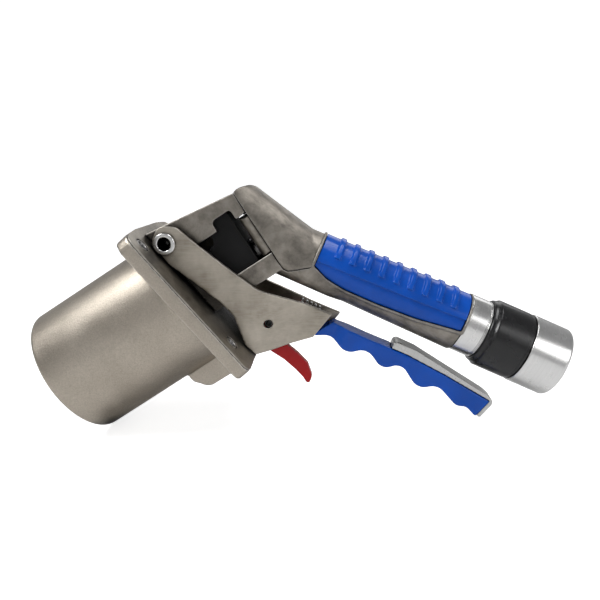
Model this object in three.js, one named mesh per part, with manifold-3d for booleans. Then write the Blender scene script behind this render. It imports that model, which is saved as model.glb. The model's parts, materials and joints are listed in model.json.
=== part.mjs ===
// Autogas filling nozzle: a bell-shaped coupler shroud, a yoke lever on two hollow
// pivot bolts, a latch trigger, a gripped handle and a swivelling hose end.
// Millimetres, +Z up, Y = 0 is the plane of symmetry, +X runs from the bell to the hose.
import * as THREE from "three";
import { mergeVertices } from "three/addons/utils/BufferGeometryUtils.js";
import Module from "manifold-3d";

const wasm = await Module();
wasm.setup();

// ---------------------------------------------------------------- driving dimensions
const GAP = 0.3;
const MERGE = 0.004;

// Bell frame: x along the bell axis from its rim, z towards the back of the tool.
const BELL_TILT = 33.25;
const BELL = { rim: 44, rear: 43, wall: 4, length: 96.3 };
const FLANGE = { tilt: 8.14, thick: 7.4, top: 53.5, bottom: -57, half: 46, corner: 9.5, droop: 2 };
const BACK_PLATE = { thick: 2, inset: 0.3 };
const FLANGE_SCREW = { y: 32.5, top: 42, bottom: -38, shank: 2.2, head: 4.3, headHigh: 2.8, length: 5 };
const BODY_SCREW = { y: 11.5, top: 25, bottom: -10.5, shank: 2, head: 3.6, headHigh: 2.6, length: 13 };
const LUG = { front: 66, depth: 60, y0: -9, y1: 3 };

// The cage behind the flange and its windows.
const CAGE = { half: 17, wall: 4, roofWall: 5, floor: -16.4, foot: 17, rear: 160.5 };
const ROOF = { front: 49, slope: -0.15 };
const WINDOW = { front: 113, rear: 153, low: -4, high: 25, notchFront: 139, notchHigh: 32 };
const COLLAR = { front: 153.4, half: 16.3, low: -3.7, high: 24.7, corner: 10 };

// Handle frame: origin on the lever pivot, x along the handle.
const PIVOT = { x: 108.7, z: 36.5 };
const HANDLE_TURN = 56.52;
const CORE = { z: 25.2, front: 17.6, rear: 18.9, from: 78, to: 190.3 };
const DOME = { half: 18.5, round: 17.5, ridgeX: 36, ridgeZ: 52.8, ridgeFall: 13.4 };
const BELLY = { low: 7.5, round: 13 };
const GRIP = { thick: 2.6, proud: 0.5, from: 90, to: 189.5 };
const RIB = { count: 9, first: 101.2, pitch: 9.75, foot: 1.9, crest: 1.2, high: 1, low: 33.5 };
const HOSE = { z: 26.2, ring: [190.6, 204.6], sleeve: [204.9, 232.6], end: [232.9, 258.4] };
const HOSE_RADIUS = { ring: 19.2, sleeve: 22.5, end: 22.9, spigot: 11.5, bore: 7 };

// The yoke lever.
const YOKE = { clear: 0.8, thick: 3, outer: 23.5, waist: 20.6, tail: 9.6, bendFrom: 68, bendTo: 97 };
const YOKE_TIP = { near: 113, far: 118.9 };
const DRIVE_PIN = { x: 29.7, z: -1.3, radius: 2.4, half: 19.1 };
const LATCH_PIN = { x: 78, z: -22.6, radius: 2.5 };
const LATCH_HALF = 2.6;
const LEVER = { half: 7.6, cheek: 2.6, proud: 1.2, front: 6.2, flareFrom: 119.5, flareTo: 127 };

// Parts inside the bell.
const STEM = { radius: 8, bore: 3.6, front: 34, clear: 0.8 };
const CLAW = { count: 3, pinX: 68, pinR: 25, halfWide: 4, pin: 1.6 };
const CAM = { front: 78, rear: 88, radius: 18.2 };
const SLIDER = { front: 116, rear: 150, low: -11.6, high: 34, half: 12.5 };
const PULL = { y: 9.4, z: 9, radius: 1.6, hole: 2.3 };
const VALVE = { z: 0, radius: 10, front: 157, rear: 173 };

const METAL = {
  blasted: { color: "#a9a49c", roughness: 0.62, metalness: 0.75 },
  casting: { color: "#7f7a74", roughness: 0.55, metalness: 0.75 },
  yoke: { color: "#a39e97", roughness: 0.5, metalness: 0.8 },
  bright: { color: "#c9c9cb", roughness: 0.22, metalness: 1 },
  turned: { color: "#b9babd", roughness: 0.3, metalness: 1 },
  spring: { color: "#d4d5d8", roughness: 0.18, metalness: 1 },
  brass: { color: "#b79a52", roughness: 0.3, metalness: 1 },
};
const PLASTIC = {
  blue: { color: "#1f4fc4", roughness: 0.32, metalness: 0 },
  red: { color: "#a81f1f", roughness: 0.4, metalness: 0 },
  black: { color: "#1b1b1d", roughness: 0.4, metalness: 0 },
  rubber: { color: "#161616", roughness: 0.8, metalness: 0 },
};

// ---------------------------------------------------------------- frames
const rad = THREE.MathUtils.degToRad;

function frameMatrix(x, z, tiltUp) {
  const turn = new THREE.Matrix4().makeRotationY(-rad(tiltUp));
  return new THREE.Matrix4().makeTranslation(x, 0, z).multiply(turn);
}

const FLANGE_TO_BELL = frameMatrix(BELL.length, 0, FLANGE.tilt);
const HANDLE_TO_BELL = frameMatrix(PIVOT.x, PIVOT.z, -HANDLE_TURN);
const BELL_TO_HANDLE = HANDLE_TO_BELL.clone().invert();

// ---------------------------------------------------------------- solid modelling helpers
function closedMesh(geometry) {
  const bare = geometry.index ? geometry.toNonIndexed() : geometry.clone();
  bare.deleteAttribute("normal");
  bare.deleteAttribute("uv");
  const merged = mergeVertices(bare, MERGE / 4);
  const corners = merged.index.array;
  const faces = [];
  for (let i = 0; i < corners.length; i += 3) {
    const [a, b, c] = [corners[i], corners[i + 1], corners[i + 2]];
    if (a !== b && b !== c && a !== c) faces.push(a, b, c);
  }
  return { positions: new Float32Array(merged.attributes.position.array), faces };
}

function toSolid(geometry) {
  const { positions, faces } = closedMesh(geometry);
  const build = (list) =>
    new wasm.Manifold(
      new wasm.Mesh({ numProp: 3, vertProperties: positions, triVerts: new Uint32Array(list) }),
    );
  const made = build(faces);
  if (made.volume() >= 0) return made;
  const flipped = faces.slice();
  for (let i = 0; i < flipped.length; i += 3) {
    [flipped[i + 1], flipped[i + 2]] = [flipped[i + 2], flipped[i + 1]];
  }
  return build(flipped);
}

function toGeometry(made) {
  const mesh = made.simplify(MERGE).getMesh();
  const geometry = new THREE.BufferGeometry();
  geometry.setAttribute("position", new THREE.BufferAttribute(mesh.vertProperties, 3));
  geometry.setIndex(new THREE.BufferAttribute(mesh.triVerts, 1));
  const flat = geometry.toNonIndexed();
  flat.computeVertexNormals();
  return flat;
}

function fuse(first, ...others) {
  return toGeometry(others.reduce((sum, g) => sum.add(toSolid(g)), toSolid(first)));
}

function cut(base, ...tools) {
  return toGeometry(tools.reduce((rest, g) => rest.subtract(toSolid(g)), toSolid(base)));
}

function common(first, ...others) {
  return toGeometry(others.reduce((rest, g) => rest.intersect(toSolid(g)), toSolid(first)));
}

function moved(geometry, matrix) {
  return geometry.clone().applyMatrix4(matrix);
}

// A closed shape through corners given as [x, y, fillet radius].
function rounded(corners, arcSteps = 4) {
  const point = (i) => {
    const [x, y] = corners[(i + corners.length) % corners.length];
    return new THREE.Vector2(x, y);
  };
  const points = corners.flatMap(([x, y, radius = 0], i) => {
    const here = new THREE.Vector2(x, y);
    if (!radius) return [here];
    const toBefore = point(i - 1).sub(here);
    const toAfter = point(i + 1).sub(here);
    const most = 0.49 * Math.min(toBefore.length(), toAfter.length());
    toBefore.normalize();
    toAfter.normalize();
    const half = toBefore.angleTo(toAfter) / 2;
    const back = Math.min(radius / Math.tan(half), most);
    const inward = toBefore.clone().add(toAfter).normalize();
    const centre = here.clone().addScaledVector(inward, back / Math.cos(half));
    const first = here.clone().addScaledVector(toBefore, back).sub(centre);
    const turn = Math.PI - 2 * half;
    const sign = -Math.sign(toAfter.cross(toBefore)) || 1;
    const steps = Math.max(2, Math.round((turn / (Math.PI / 2)) * arcSteps));
    return Array.from({ length: steps + 1 }, (_, k) =>
      first.clone().rotateAround(new THREE.Vector2(), (-sign * turn * k) / steps).add(centre),
    );
  });
  return new THREE.Shape(points);
}

function extruded(shape, depth, bevel) {
  return new THREE.ExtrudeGeometry(shape, {
    depth: depth - 2 * bevel,
    bevelEnabled: bevel > 0,
    bevelThickness: bevel,
    bevelSize: bevel,
    bevelOffset: -bevel,
    bevelSegments: bevel > 3 ? 4 : 1,
  }).translate(0, 0, bevel);
}

// A side-view outline (x, z) carried across the tool from y0 to y1.
function prism(corners, y0, y1, bevel = 0, steps = 3) {
  return extruded(rounded(corners, steps), y1 - y0, bevel)
    .rotateX(Math.PI / 2)
    .translate(0, y1, 0);
}

// An outline seen along x (y, z) carried from x0 to x1.
function plate(corners, x0, x1, bevel = 0, steps = 4) {
  const basis = new THREE.Matrix4().makeBasis(
    new THREE.Vector3(0, 1, 0),
    new THREE.Vector3(0, 0, 1),
    new THREE.Vector3(1, 0, 0),
  );
  return extruded(rounded(corners, steps), x1 - x0, bevel).applyMatrix4(basis).translate(x0, 0, 0);
}

// A plan-view outline (x, y) carried from z0 to z1.
function slab(corners, z0, z1, steps = 4) {
  return extruded(rounded(corners, steps), z1 - z0, 0).translate(0, 0, z0);
}

// A profile of [x, radius] turned about the line y = 0, z = axisZ.
function turned(profile, axisZ = 0, segments = 30) {
  const points = profile.map(([x, r]) => new THREE.Vector2(r, x));
  return new THREE.LatheGeometry(points, segments).rotateZ(-Math.PI / 2).translate(0, 0, axisZ);
}

function rod(x0, x1, radius, axisZ = 0, segments = 20) {
  return turned([[x0, 0], [x0, radius], [x1, radius], [x1, 0]], axisZ, segments);
}

function ring(x0, x1, inner, outer, axisZ = 0, segments = 30) {
  const profile = [[x0, inner], [x0, outer], [x1, outer], [x1, inner], [x0, inner]];
  return turned(profile, axisZ, segments);
}

// A profile of [y, radius] turned about a cross axis at (x, z).
function turnedAcross(profile, x, z, segments = 20) {
  const points = profile.map(([y, r]) => new THREE.Vector2(r, y));
  return new THREE.LatheGeometry(points, segments).translate(x, 0, z);
}

function crossRod(x, z, radius, y0, y1, segments = 16) {
  return turnedAcross([[y0, 0], [y0, radius], [y1, radius], [y1, 0]], x, z, segments);
}

function block(x0, x1, y0, y1, z0, z1) {
  return new THREE.BoxGeometry(x1 - x0, y1 - y0, z1 - z0).translate(
    (x0 + x1) / 2,
    (y0 + y1) / 2,
    (z0 + z1) / 2,
  );
}

class Helix extends THREE.Curve {
  constructor(radius, length, turns) {
    super();
    Object.assign(this, { radius, length, turns });
  }
  getPoint(t, target = new THREE.Vector3()) {
    const a = 2 * Math.PI * this.turns * t;
    return target.set(this.length * t, this.radius * Math.cos(a), this.radius * Math.sin(a));
  }
}

// A coil spring along x starting at x0.
function coil(x0, length, radius, wire, turns, axisZ = 0) {
  const section = new THREE.Shape().absarc(0, 0, wire / 2, 0, 2 * Math.PI);
  return new THREE.ExtrudeGeometry(section, {
    extrudePath: new Helix(radius, length, turns),
    steps: Math.round(turns * 10),
    curveSegments: 3,
    bevelEnabled: false,
  }).translate(x0, 0, axisZ);
}

// ---------------------------------------------------------------- assembly
const root = new THREE.Group();
const bellGroup = new THREE.Group();
bellGroup.rotation.y = -rad(BELL_TILT);
root.add(bellGroup);

const flangeGroup = new THREE.Group();
flangeGroup.applyMatrix4(FLANGE_TO_BELL);
bellGroup.add(flangeGroup);

const handleGroup = new THREE.Group();
handleGroup.applyMatrix4(HANDLE_TO_BELL);
bellGroup.add(handleGroup);

function add(group, name, geometry, look) {
  const mesh = new THREE.Mesh(geometry, new THREE.MeshStandardMaterial(look));
  mesh.name = name;
  group.add(mesh);
}

// ---------------------------------------------------------------- bell casting and its flange
const SIDES = [-1, 1];
const WIDE = 200;
const behindPlane = (x) => moved(block(x, WIDE, -WIDE, WIDE, -WIDE, WIDE), FLANGE_TO_BELL);
const plateFront = FLANGE.thick + GAP;
const plateBack = plateFront + BACK_PLATE.thick;

function flangeOutline(inset) {
  const half = FLANGE.half - inset;
  const top = FLANGE.top - inset;
  const bottom = FLANGE.bottom + inset;
  return [
    [-half, bottom + FLANGE.droop, FLANGE.corner],
    [-half / 2, bottom],
    [half / 2, bottom],
    [half, bottom + FLANGE.droop, FLANGE.corner],
    [half, top - FLANGE.droop, FLANGE.corner],
    [half / 2, top],
    [-half / 2, top],
    [-half, top - FLANGE.droop, FLANGE.corner],
  ];
}

function cornerSpots({ y, top, bottom }) {
  return [top, bottom].flatMap((z) => SIDES.map((side) => [side * y, z]));
}

const flangeScrewSpots = cornerSpots(FLANGE_SCREW);
const bodyScrewSpots = cornerSpots(BODY_SCREW);

function holesAt(spots, radius, x0, x1) {
  return spots.map(([y, z]) => rod(x0, x1, radius, z, 10).translate(0, y, 0));
}

// The stem's bore and the two pull-rod holes beside it, along the bell axis.
function stemHoles(x0, x1, rodsTo = x1) {
  const bore = rod(x0, x1, STEM.radius + STEM.clear, 0, 32);
  const beside = SIDES.map((side) =>
    rod(x0, rodsTo, PULL.hole, PULL.z, 10).translate(0, side * PULL.y, 0),
  );
  return [bore, ...beside];
}

// Counterbores that sink the four corner screws below the back plate's face.
function screwPockets() {
  const floor = plateBack - FLANGE_SCREW.headHigh - 0.6;
  return flangeScrewSpots.map(([y, z]) =>
    rod(floor, plateBack + 2, FLANGE_SCREW.head + 0.4, z, 16).translate(0, y, 0),
  );
}

function bellCasting() {
  const rearX = BELL.length + 14;
  const skirt = turned(
    [
      [1.2, BELL.rim - BELL.wall],
      [0, BELL.rim - BELL.wall + 1.2],
      [0, BELL.rim - 1.6],
      [0.6, BELL.rim - 0.5],
      [1.8, BELL.rim],
      [rearX, BELL.rear],
      [rearX, BELL.rear - BELL.wall],
      [1.2, BELL.rim - BELL.wall],
    ],
    0,
    48,
  );
  const open = cut(skirt, behindPlane(FLANGE.thick / 2));
  const flange = moved(plate(flangeOutline(0), 0, FLANGE.thick, 0.9), FLANGE_TO_BELL);
  const lugRear = BELL.length + 9;
  const lug = prism(
    [
      [LUG.front, -BELL.rim + 3, 0],
      [lugRear, -BELL.rim + 3, 0],
      [lugRear, -LUG.depth, 0],
      [LUG.front + 9, -LUG.depth, 9],
      [LUG.front, -LUG.depth + 10, 5],
    ],
    LUG.y0,
    LUG.y1,
    1,
  );
  const lugTrimmed = cut(lug, behindPlane(FLANGE.thick / 2));
  const inFlange = [
    ...holesAt(flangeScrewSpots, FLANGE_SCREW.shank + GAP, -1, 20),
    ...holesAt(bodyScrewSpots, BODY_SCREW.shank + GAP, -1, 20),
    ...screwPockets(),
  ].map((g) => moved(g, FLANGE_TO_BELL));
  return cut(fuse(open, flange, lugTrimmed), ...stemHoles(60, 130), ...inFlange);
}

add(bellGroup, "bell_shroud", bellCasting(), METAL.blasted);

function backPlate() {
  const sheet = plate(flangeOutline(BACK_PLATE.inset), plateFront, plateBack, 0.4);
  const toFlange = FLANGE_TO_BELL.clone().invert();
  return cut(
    sheet,
    ...stemHoles(60, 140).map((g) => moved(g, toFlange)),
    ...holesAt(flangeScrewSpots, FLANGE_SCREW.shank + GAP, 0, 20),
    ...holesAt(bodyScrewSpots, BODY_SCREW.shank + GAP, 0, 20),
    ...screwPockets(),
  );
}

add(flangeGroup, "back_plate", backPlate(), METAL.bright);

// A cap screw pointing towards -x, its head's underside at x = seat.
function capScrew(seat, { shank, head, headHigh, length }) {
  const chamfer = 0.5;
  const top = seat + headHigh;
  const body = turned(
    [
      [seat - length, 0],
      [seat - length, shank],
      [seat, shank],
      [seat, head],
      [top - chamfer, head],
      [top, head - chamfer],
      [top, 0],
    ],
    0,
    12,
  );
  const socketDepth = 1.8;
  return cut(body, rod(top - socketDepth, top + 1, head * 0.55, 0, 6));
}

flangeScrewSpots.forEach(([y, z], i) => {
  const screw = capScrew(plateBack - FLANGE_SCREW.headHigh - GAP, FLANGE_SCREW);
  add(flangeGroup, "flange_screw_" + (i + 1), screw.translate(0, y, z), METAL.bright);
});

// The body screws come from inside the bell, so they point the other way.
bodyScrewSpots.forEach(([y, z], i) => {
  const screw = capScrew(GAP, BODY_SCREW).rotateZ(Math.PI);
  add(flangeGroup, "body_screw_" + (i + 1), screw.translate(0, y, z), METAL.turned);
});

// ---------------------------------------------------------------- main casting: cage, neck, handle core
const beforeFoot = moved(
  block(-WIDE, plateBack + GAP, -WIDE, WIDE, -WIDE, WIDE),
  FLANGE_TO_BELL,
);

function roofAt(x) {
  return ROOF.front + ROOF.slope * (x - BELL.length);
}

function cage() {
  const front = BELL.length - 6;
  const roomFront = BELL.length + CAGE.foot;
  const past = CAGE.rear + 5;
  const shell = prism(
    [
      [front, CAGE.floor],
      [CAGE.rear, CAGE.floor],
      [CAGE.rear, roofAt(CAGE.rear)],
      [front, roofAt(front)],
    ],
    -CAGE.half,
    CAGE.half,
    1.2,
  );
  const inner = CAGE.half - CAGE.wall;
  const room = prism(
    [
      [roomFront, CAGE.floor + CAGE.wall],
      [past, CAGE.floor + CAGE.wall],
      [past, roofAt(CAGE.rear) - CAGE.roofWall],
      [roomFront, roofAt(roomFront) - CAGE.roofWall],
    ],
    -inner,
    inner,
  );
  const windows = prism(
    [
      [WINDOW.front, WINDOW.low],
      [past, WINDOW.low],
      [past, WINDOW.high + 1],
      [WINDOW.rear, WINDOW.high],
      [WINDOW.rear, WINDOW.notchHigh, 2],
      [WINDOW.notchFront, WINDOW.notchHigh, 3],
      [WINDOW.notchFront, WINDOW.high],
      [WINDOW.front, WINDOW.high],
    ],
    -CAGE.half - 2,
    CAGE.half + 2,
  );
  return cut(shell, beforeFoot, room, windows);
}

const domeOutline = [
  [20, 24, 0],
  [27.5, 50.5, 12],
  [38, 53.2, 10],
  [64, 46, 20],
  [90, 42.6, 0],
  [96, 34, 0],
  [96, 4, 0],
  [58, 4, 0],
];

function neckBulk() {
  const crown = plate(
    [
      [-DOME.half, -70],
      [DOME.half, -70],
      [DOME.half, 0, DOME.round],
      [-DOME.half, 0, DOME.round],
    ],
    -40,
    90,
  ).applyMatrix4(frameMatrix(DOME.ridgeX, DOME.ridgeZ, -DOME.ridgeFall));
  const belly = plate(
    [
      [-DOME.half, BELLY.low, BELLY.round],
      [DOME.half, BELLY.low, BELLY.round],
      [DOME.half, 90],
      [-DOME.half, 90],
    ],
    0,
    120,
  );
  const side = prism(domeOutline, -DOME.half - 5, DOME.half + 5, 0, 5);
  const dome = moved(common(side, crown, belly), HANDLE_TO_BELL);
  const behindCage = fuse(
    block(CAGE.rear, 300, -100, 100, -200, 200),
    block(CAGE.rear - 20, CAGE.rear + 1, -100, 100, -200, CAGE.floor + 3.2),
  );
  const core = moved(
    turned(
      [
        [CORE.from - 6, 0],
        [CORE.from - 6, CORE.front - 0.4],
        [CORE.from, CORE.front],
        [CORE.to, CORE.rear],
        [CORE.to, 0],
      ],
      CORE.z,
      32,
    ),
    HANDLE_TO_BELL,
  );
  return common(fuse(dome, core), behindCage);
}

// The region the dome cover takes: behind the cage, above the neck seam, up to the grip.
function coverRegion(grow) {
  const seam = moved(
    prism(
      [
        [0, 12 - grow],
        [76, 14 - grow],
        [GRIP.from - 1.1 + grow, 22.5 - grow],
        [GRIP.from - 1.1 + grow, 80],
        [0, 80],
      ],
      -60,
      60,
    ),
    HANDLE_TO_BELL,
  );
  return common(seam, block(CAGE.rear + GAP - grow, 300, -60, 60, -200, 200));
}

const gripBorder = (drop) => [
  [GRIP.from - drop, 24 - drop],
  [100, 19.6 - drop, 12],
  [113, 17.5 - drop, 20],
  [134, 17.5 - drop, 30],
  [160, 19 - drop, 30],
  [GRIP.to + drop, 23.4 - drop],
  [GRIP.to + drop, 70],
  [GRIP.from - drop, 70],
];

function coreRadius(x) {
  return CORE.front + ((CORE.rear - CORE.front) * (x - CORE.from)) / (CORE.to - CORE.from);
}

// The sleeve of space the blue grip fills, between two offsets from the core surface.
function gripShell(inward, outward, drop) {
  const [x0, x1] = [GRIP.from - 4, GRIP.to + 4];
  const [r0, r1] = [coreRadius(x0), coreRadius(x1)];
  const sleeve = turned(
    [
      [x0, r0 - inward],
      [x0, r0 + outward],
      [x1, r1 + outward],
      [x1, r1 - inward],
      [x0, r0 - inward],
    ],
    CORE.z,
    32,
  );
  return common(sleeve, prism(gripBorder(drop), -40, 40));
}

const handleBore = moved(rod(70, 300, HOSE_RADIUS.bore, CORE.z, 24), HANDLE_TO_BELL);
const valveRoom = rod(VALVE.front, VALVE.rear, VALVE.radius, VALVE.z, 32);
const spigotSeat = moved(rod(CORE.to - 12, 300, HOSE_RADIUS.spigot + GAP, HOSE.z, 28), HANDLE_TO_BELL);
const pivotHoles = SIDES.map((side) =>
  crossRod(PIVOT.x, PIVOT.z, 4.8, Math.min(0, side * 40), Math.max(0, side * 40)),
);

// The round-cornered block that closes the windows at the rear, grown by a clearance.
function collarBlock(grow, rear) {
  const half = COLLAR.half + grow;
  const [low, high] = [COLLAR.low - grow, COLLAR.high + grow];
  const corners = [
    [-half, low, COLLAR.corner],
    [half, low, COLLAR.corner],
    [half, high, COLLAR.corner],
    [-half, high, COLLAR.corner],
  ];
  return plate(corners, COLLAR.front - grow, rear, 0);
}

function mainCasting() {
  const bulk = fuse(cage(), cut(neckBulk(), coverRegion(GAP)));
  const underGrip = moved(gripShell(GRIP.thick + GAP, 6, GAP), HANDLE_TO_BELL);
  const footHoles = holesAt(bodyScrewSpots, BODY_SCREW.shank + GAP, 0, 14.5);
  return cut(
    bulk,
    underGrip,
    collarBlock(GAP, CAGE.rear + 3),
    valveRoom,
    handleBore,
    spigotSeat,
    ...stemHoles(90, CAGE.rear, 120),
    ...footHoles.map((g) => moved(g, FLANGE_TO_BELL)),
    ...pivotHoles,
  );
}

add(bellGroup, "main_casting", mainCasting(), METAL.casting);

function domeCover() {
  const gripRoom = moved(gripShell(GRIP.thick + GAP, 6, GAP), HANDLE_TO_BELL);
  return cut(common(neckBulk(), coverRegion(0)), valveRoom, handleBore, gripRoom);
}

add(bellGroup, "dome_cover", domeCover(), METAL.casting);

function collar() {
  return cut(collarBlock(0, CAGE.rear), rod(140, 170, STEM.radius + 0.4, 0, 32));
}

add(bellGroup, "collar", collar(), METAL.casting);

// ---------------------------------------------------------------- handle grip, ring, sleeve, hose end
function gripRib(x) {
  const base = coreRadius(x) - 1;
  const skin = coreRadius(x) + GRIP.proud;
  return turned(
    [
      [x - RIB.foot, base],
      [x - RIB.foot, skin],
      [x - RIB.crest, skin + RIB.high],
      [x + RIB.crest, skin + RIB.high],
      [x + RIB.foot, skin],
      [x + RIB.foot, base],
      [x - RIB.foot, base],
    ],
    CORE.z,
    32,
  );
}

function handleGrip() {
  const shell = gripShell(GRIP.thick, GRIP.proud, 0);
  const ribBand = prism(
    [
      [GRIP.from + 2, RIB.low],
      [GRIP.to - 2, RIB.low + 1.5],
      [GRIP.to - 2, 70],
      [GRIP.from + 2, 70],
    ],
    -40,
    40,
  );
  const places = Array.from({ length: RIB.count }, (_, i) => RIB.first + i * RIB.pitch);
  return fuse(shell, ...places.map((x) => common(gripRib(x), ribBand)));
}

add(handleGroup, "handle_grip", handleGrip(), PLASTIC.blue);
add(
  handleGroup,
  "steel_ring",
  ring(HOSE.ring[0], HOSE.ring[1], HOSE_RADIUS.spigot + GAP, HOSE_RADIUS.ring, HOSE.z, 32),
  METAL.bright,
);

function sleeve() {
  const [x0, x1] = HOSE.sleeve;
  const r = HOSE_RADIUS.sleeve;
  const inner = HOSE_RADIUS.spigot + GAP;
  return turned(
    [
      [x0, inner],
      [x0, r - 3],
      [x0 + 0.8, r - 1.2],
      [x0 + 3, r],
      [x1 - 0.8, r],
      [x1, r - 0.8],
      [x1, inner + 5],
      [x1 - 12, inner + 5],
      [x1 - 12, inner],
      [x0, inner],
    ],
    HOSE.z,
    32,
  );
}

function hoseEnd() {
  const [x0, x1] = HOSE.end;
  const r = HOSE_RADIUS.end;
  const neck = HOSE_RADIUS.spigot + 4.4;
  const rear = x1 - x0;
  return turned(
    [
      [x0 - 11, HOSE_RADIUS.spigot + 0.5],
      [x0 - 11, neck],
      [x0, neck],
      [x0, r - 0.8],
      [x0 + 0.8, r],
      [x1 - 2.2, r],
      [x1 - 0.7, r - 0.8],
      [x1, r - 2.4],
      [x1, 14.6],
      [x1 - 0.8, 13.8],
      [x0 + 0.42 * rear, 13.8],
      [x0 + 0.42 * rear, HOSE_RADIUS.spigot + 0.5],
      [x0 - 11, HOSE_RADIUS.spigot + 0.5],
    ],
    HOSE.z,
    32,
  );
}

add(handleGroup, "swivel_sleeve", sleeve(), PLASTIC.black);
add(handleGroup, "hose_end", hoseEnd(), METAL.bright);

// The spigot joins the handle to the hose end, with a groove for its O-ring.
function swivelSpigot() {
  const start = CORE.to - 11.7;
  const tip = HOSE.end[0] + 8;
  const [grooveFrom, grooveTo] = [HOSE.end[0] - 7.2, HOSE.end[0] - 4.6];
  const inner = HOSE_RADIUS.bore - 1;
  const outer = HOSE_RADIUS.spigot;
  return turned(
    [
      [start, inner],
      [start, outer],
      [grooveFrom, outer],
      [grooveFrom, outer - 1.6],
      [grooveTo, outer - 1.6],
      [grooveTo, outer],
      [tip, outer],
      [tip, inner],
      [start, inner],
    ],
    HOSE.z,
    28,
  );
}

add(handleGroup, "swivel_spigot", swivelSpigot(), METAL.turned);
add(
  handleGroup,
  "swivel_o_ring",
  ring(
    HOSE.end[0] - 6.9,
    HOSE.end[0] - 4.9,
    HOSE_RADIUS.spigot - 1.3,
    HOSE_RADIUS.spigot - 0.05,
    HOSE.z,
    28,
  ),
  PLASTIC.rubber,
);
add(
  handleGroup,
  "hose_gasket",
  ring(HOSE.end[0] + 11.1, HOSE.end[0] + 13.4, HOSE_RADIUS.bore, 13.4, HOSE.z, 28),
  PLASTIC.rubber,
);

// ---------------------------------------------------------------- pivot bolts and washers
SIDES.forEach((side) => {
  const label = side < 0 ? "near" : "far";
  const headIn = YOKE.outer + 0.4;
  const shank = 5.6;
  const bolt = turnedAcross(
    [
      [12, 0],
      [12, 4.5],
      [CAGE.half + GAP, 4.5],
      [CAGE.half + GAP, shank],
      [headIn, shank],
      [headIn, 6.9],
      [headIn + 1.4, 6.9],
      [headIn + 2, 6.3],
      [headIn + 2, 4.1],
      [CAGE.half - 1, 4.1],
      [CAGE.half - 1, 0],
    ],
    PIVOT.x,
    PIVOT.z,
    20,
  );
  const washer = turnedAcross(
    [
      [CAGE.half + GAP, 5.9],
      [CAGE.half + GAP, 7.1],
      [YOKE.outer - YOKE.thick - GAP, 7.1],
      [YOKE.outer - YOKE.thick - GAP, 5.9],
      [CAGE.half + GAP, 5.9],
    ],
    PIVOT.x,
    PIVOT.z,
    20,
  );
  [bolt, washer].forEach((g) => side < 0 && g.rotateX(Math.PI).translate(0, 0, 2 * PIVOT.z));
  add(bellGroup, "pivot_bolt_" + label, bolt, METAL.bright);
  add(bellGroup, "pivot_washer_" + label, washer, METAL.turned);
});

// ---------------------------------------------------------------- yoke lever
// A cheek of the yoke from the side; its tail ends at the given tip.
const yokeSide = (tip) => [
  [-8.2, -1, 6],
  [-8.0, 9, 8],
  [3, 12.2, 6],
  [20, 7, 0],
  [42, 1.2, 30],
  [64, -4.2, 20],
  [92, -2.4, 30],
  [tip, -2, 0],
  [tip - 5, -20.6, 0],
  [85, -40, 6],
  [76, -46.5, 6],
  [70, -41, 8],
  [56.5, -25.8, 10],
  [46, -21, 20],
  [26, -15.6, 0],
  [4, -10.3, 6],
  [-6, -6.6, 5],
];

function yokePlan(side) {
  const t = YOKE.thick;
  return [
    [-20, side * YOKE.outer],
    [12, side * YOKE.outer],
    [YOKE.bendFrom, side * YOKE.waist, 45],
    [YOKE.bendTo, side * YOKE.tail, 16],
    [170, side * YOKE.tail],
    [170, side * (YOKE.tail - t)],
    [YOKE.bendTo - 1, side * (YOKE.tail - t), 16],
    [YOKE.bendFrom - 1, side * (YOKE.waist - t), 45],
    [12, side * (YOKE.outer - t)],
    [-20, side * (YOKE.outer - t)],
  ];
}

function yoke() {
  const sides = SIDES.map((side) => {
    const tip = side < 0 ? YOKE_TIP.near : YOKE_TIP.far;
    return common(prism(yokeSide(tip), -40, 40), slab(yokePlan(side), -80, 40));
  });
  const inner = YOKE.tail - YOKE.thick + 1;
  const web = prism(
    [
      [99, -26.5],
      [104.2, -21.6],
      [109.8, -15],
      [108.4, -13.6],
      [102.8, -20],
      [97.6, -24.8],
    ],
    -inner,
    inner,
  );
  const holes = [
    crossRod(0, 0, 5.9, -40, 40),
    crossRod(LATCH_PIN.x, LATCH_PIN.z, LATCH_PIN.radius + GAP, -40, 40),
    crossRod(DRIVE_PIN.x, DRIVE_PIN.z, DRIVE_PIN.radius + GAP, -DRIVE_PIN.half - 1, DRIVE_PIN.half + 1),
  ];
  const relief = moved(
    block(-100, plateBack + YOKE.clear, -60, 60, -100, 100),
    BELL_TO_HANDLE.clone().multiply(FLANGE_TO_BELL),
  );
  return cut(fuse(...sides, web), relief, ...holes);
}

add(handleGroup, "yoke", yoke(), METAL.yoke);
add(
  handleGroup,
  "drive_pin",
  crossRod(DRIVE_PIN.x, DRIVE_PIN.z, DRIVE_PIN.radius, -DRIVE_PIN.half, DRIVE_PIN.half),
  METAL.turned,
);
add(
  handleGroup,
  "latch_pin",
  crossRod(LATCH_PIN.x, LATCH_PIN.z, LATCH_PIN.radius, -14.6, 14.6),
  METAL.turned,
);

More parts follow.
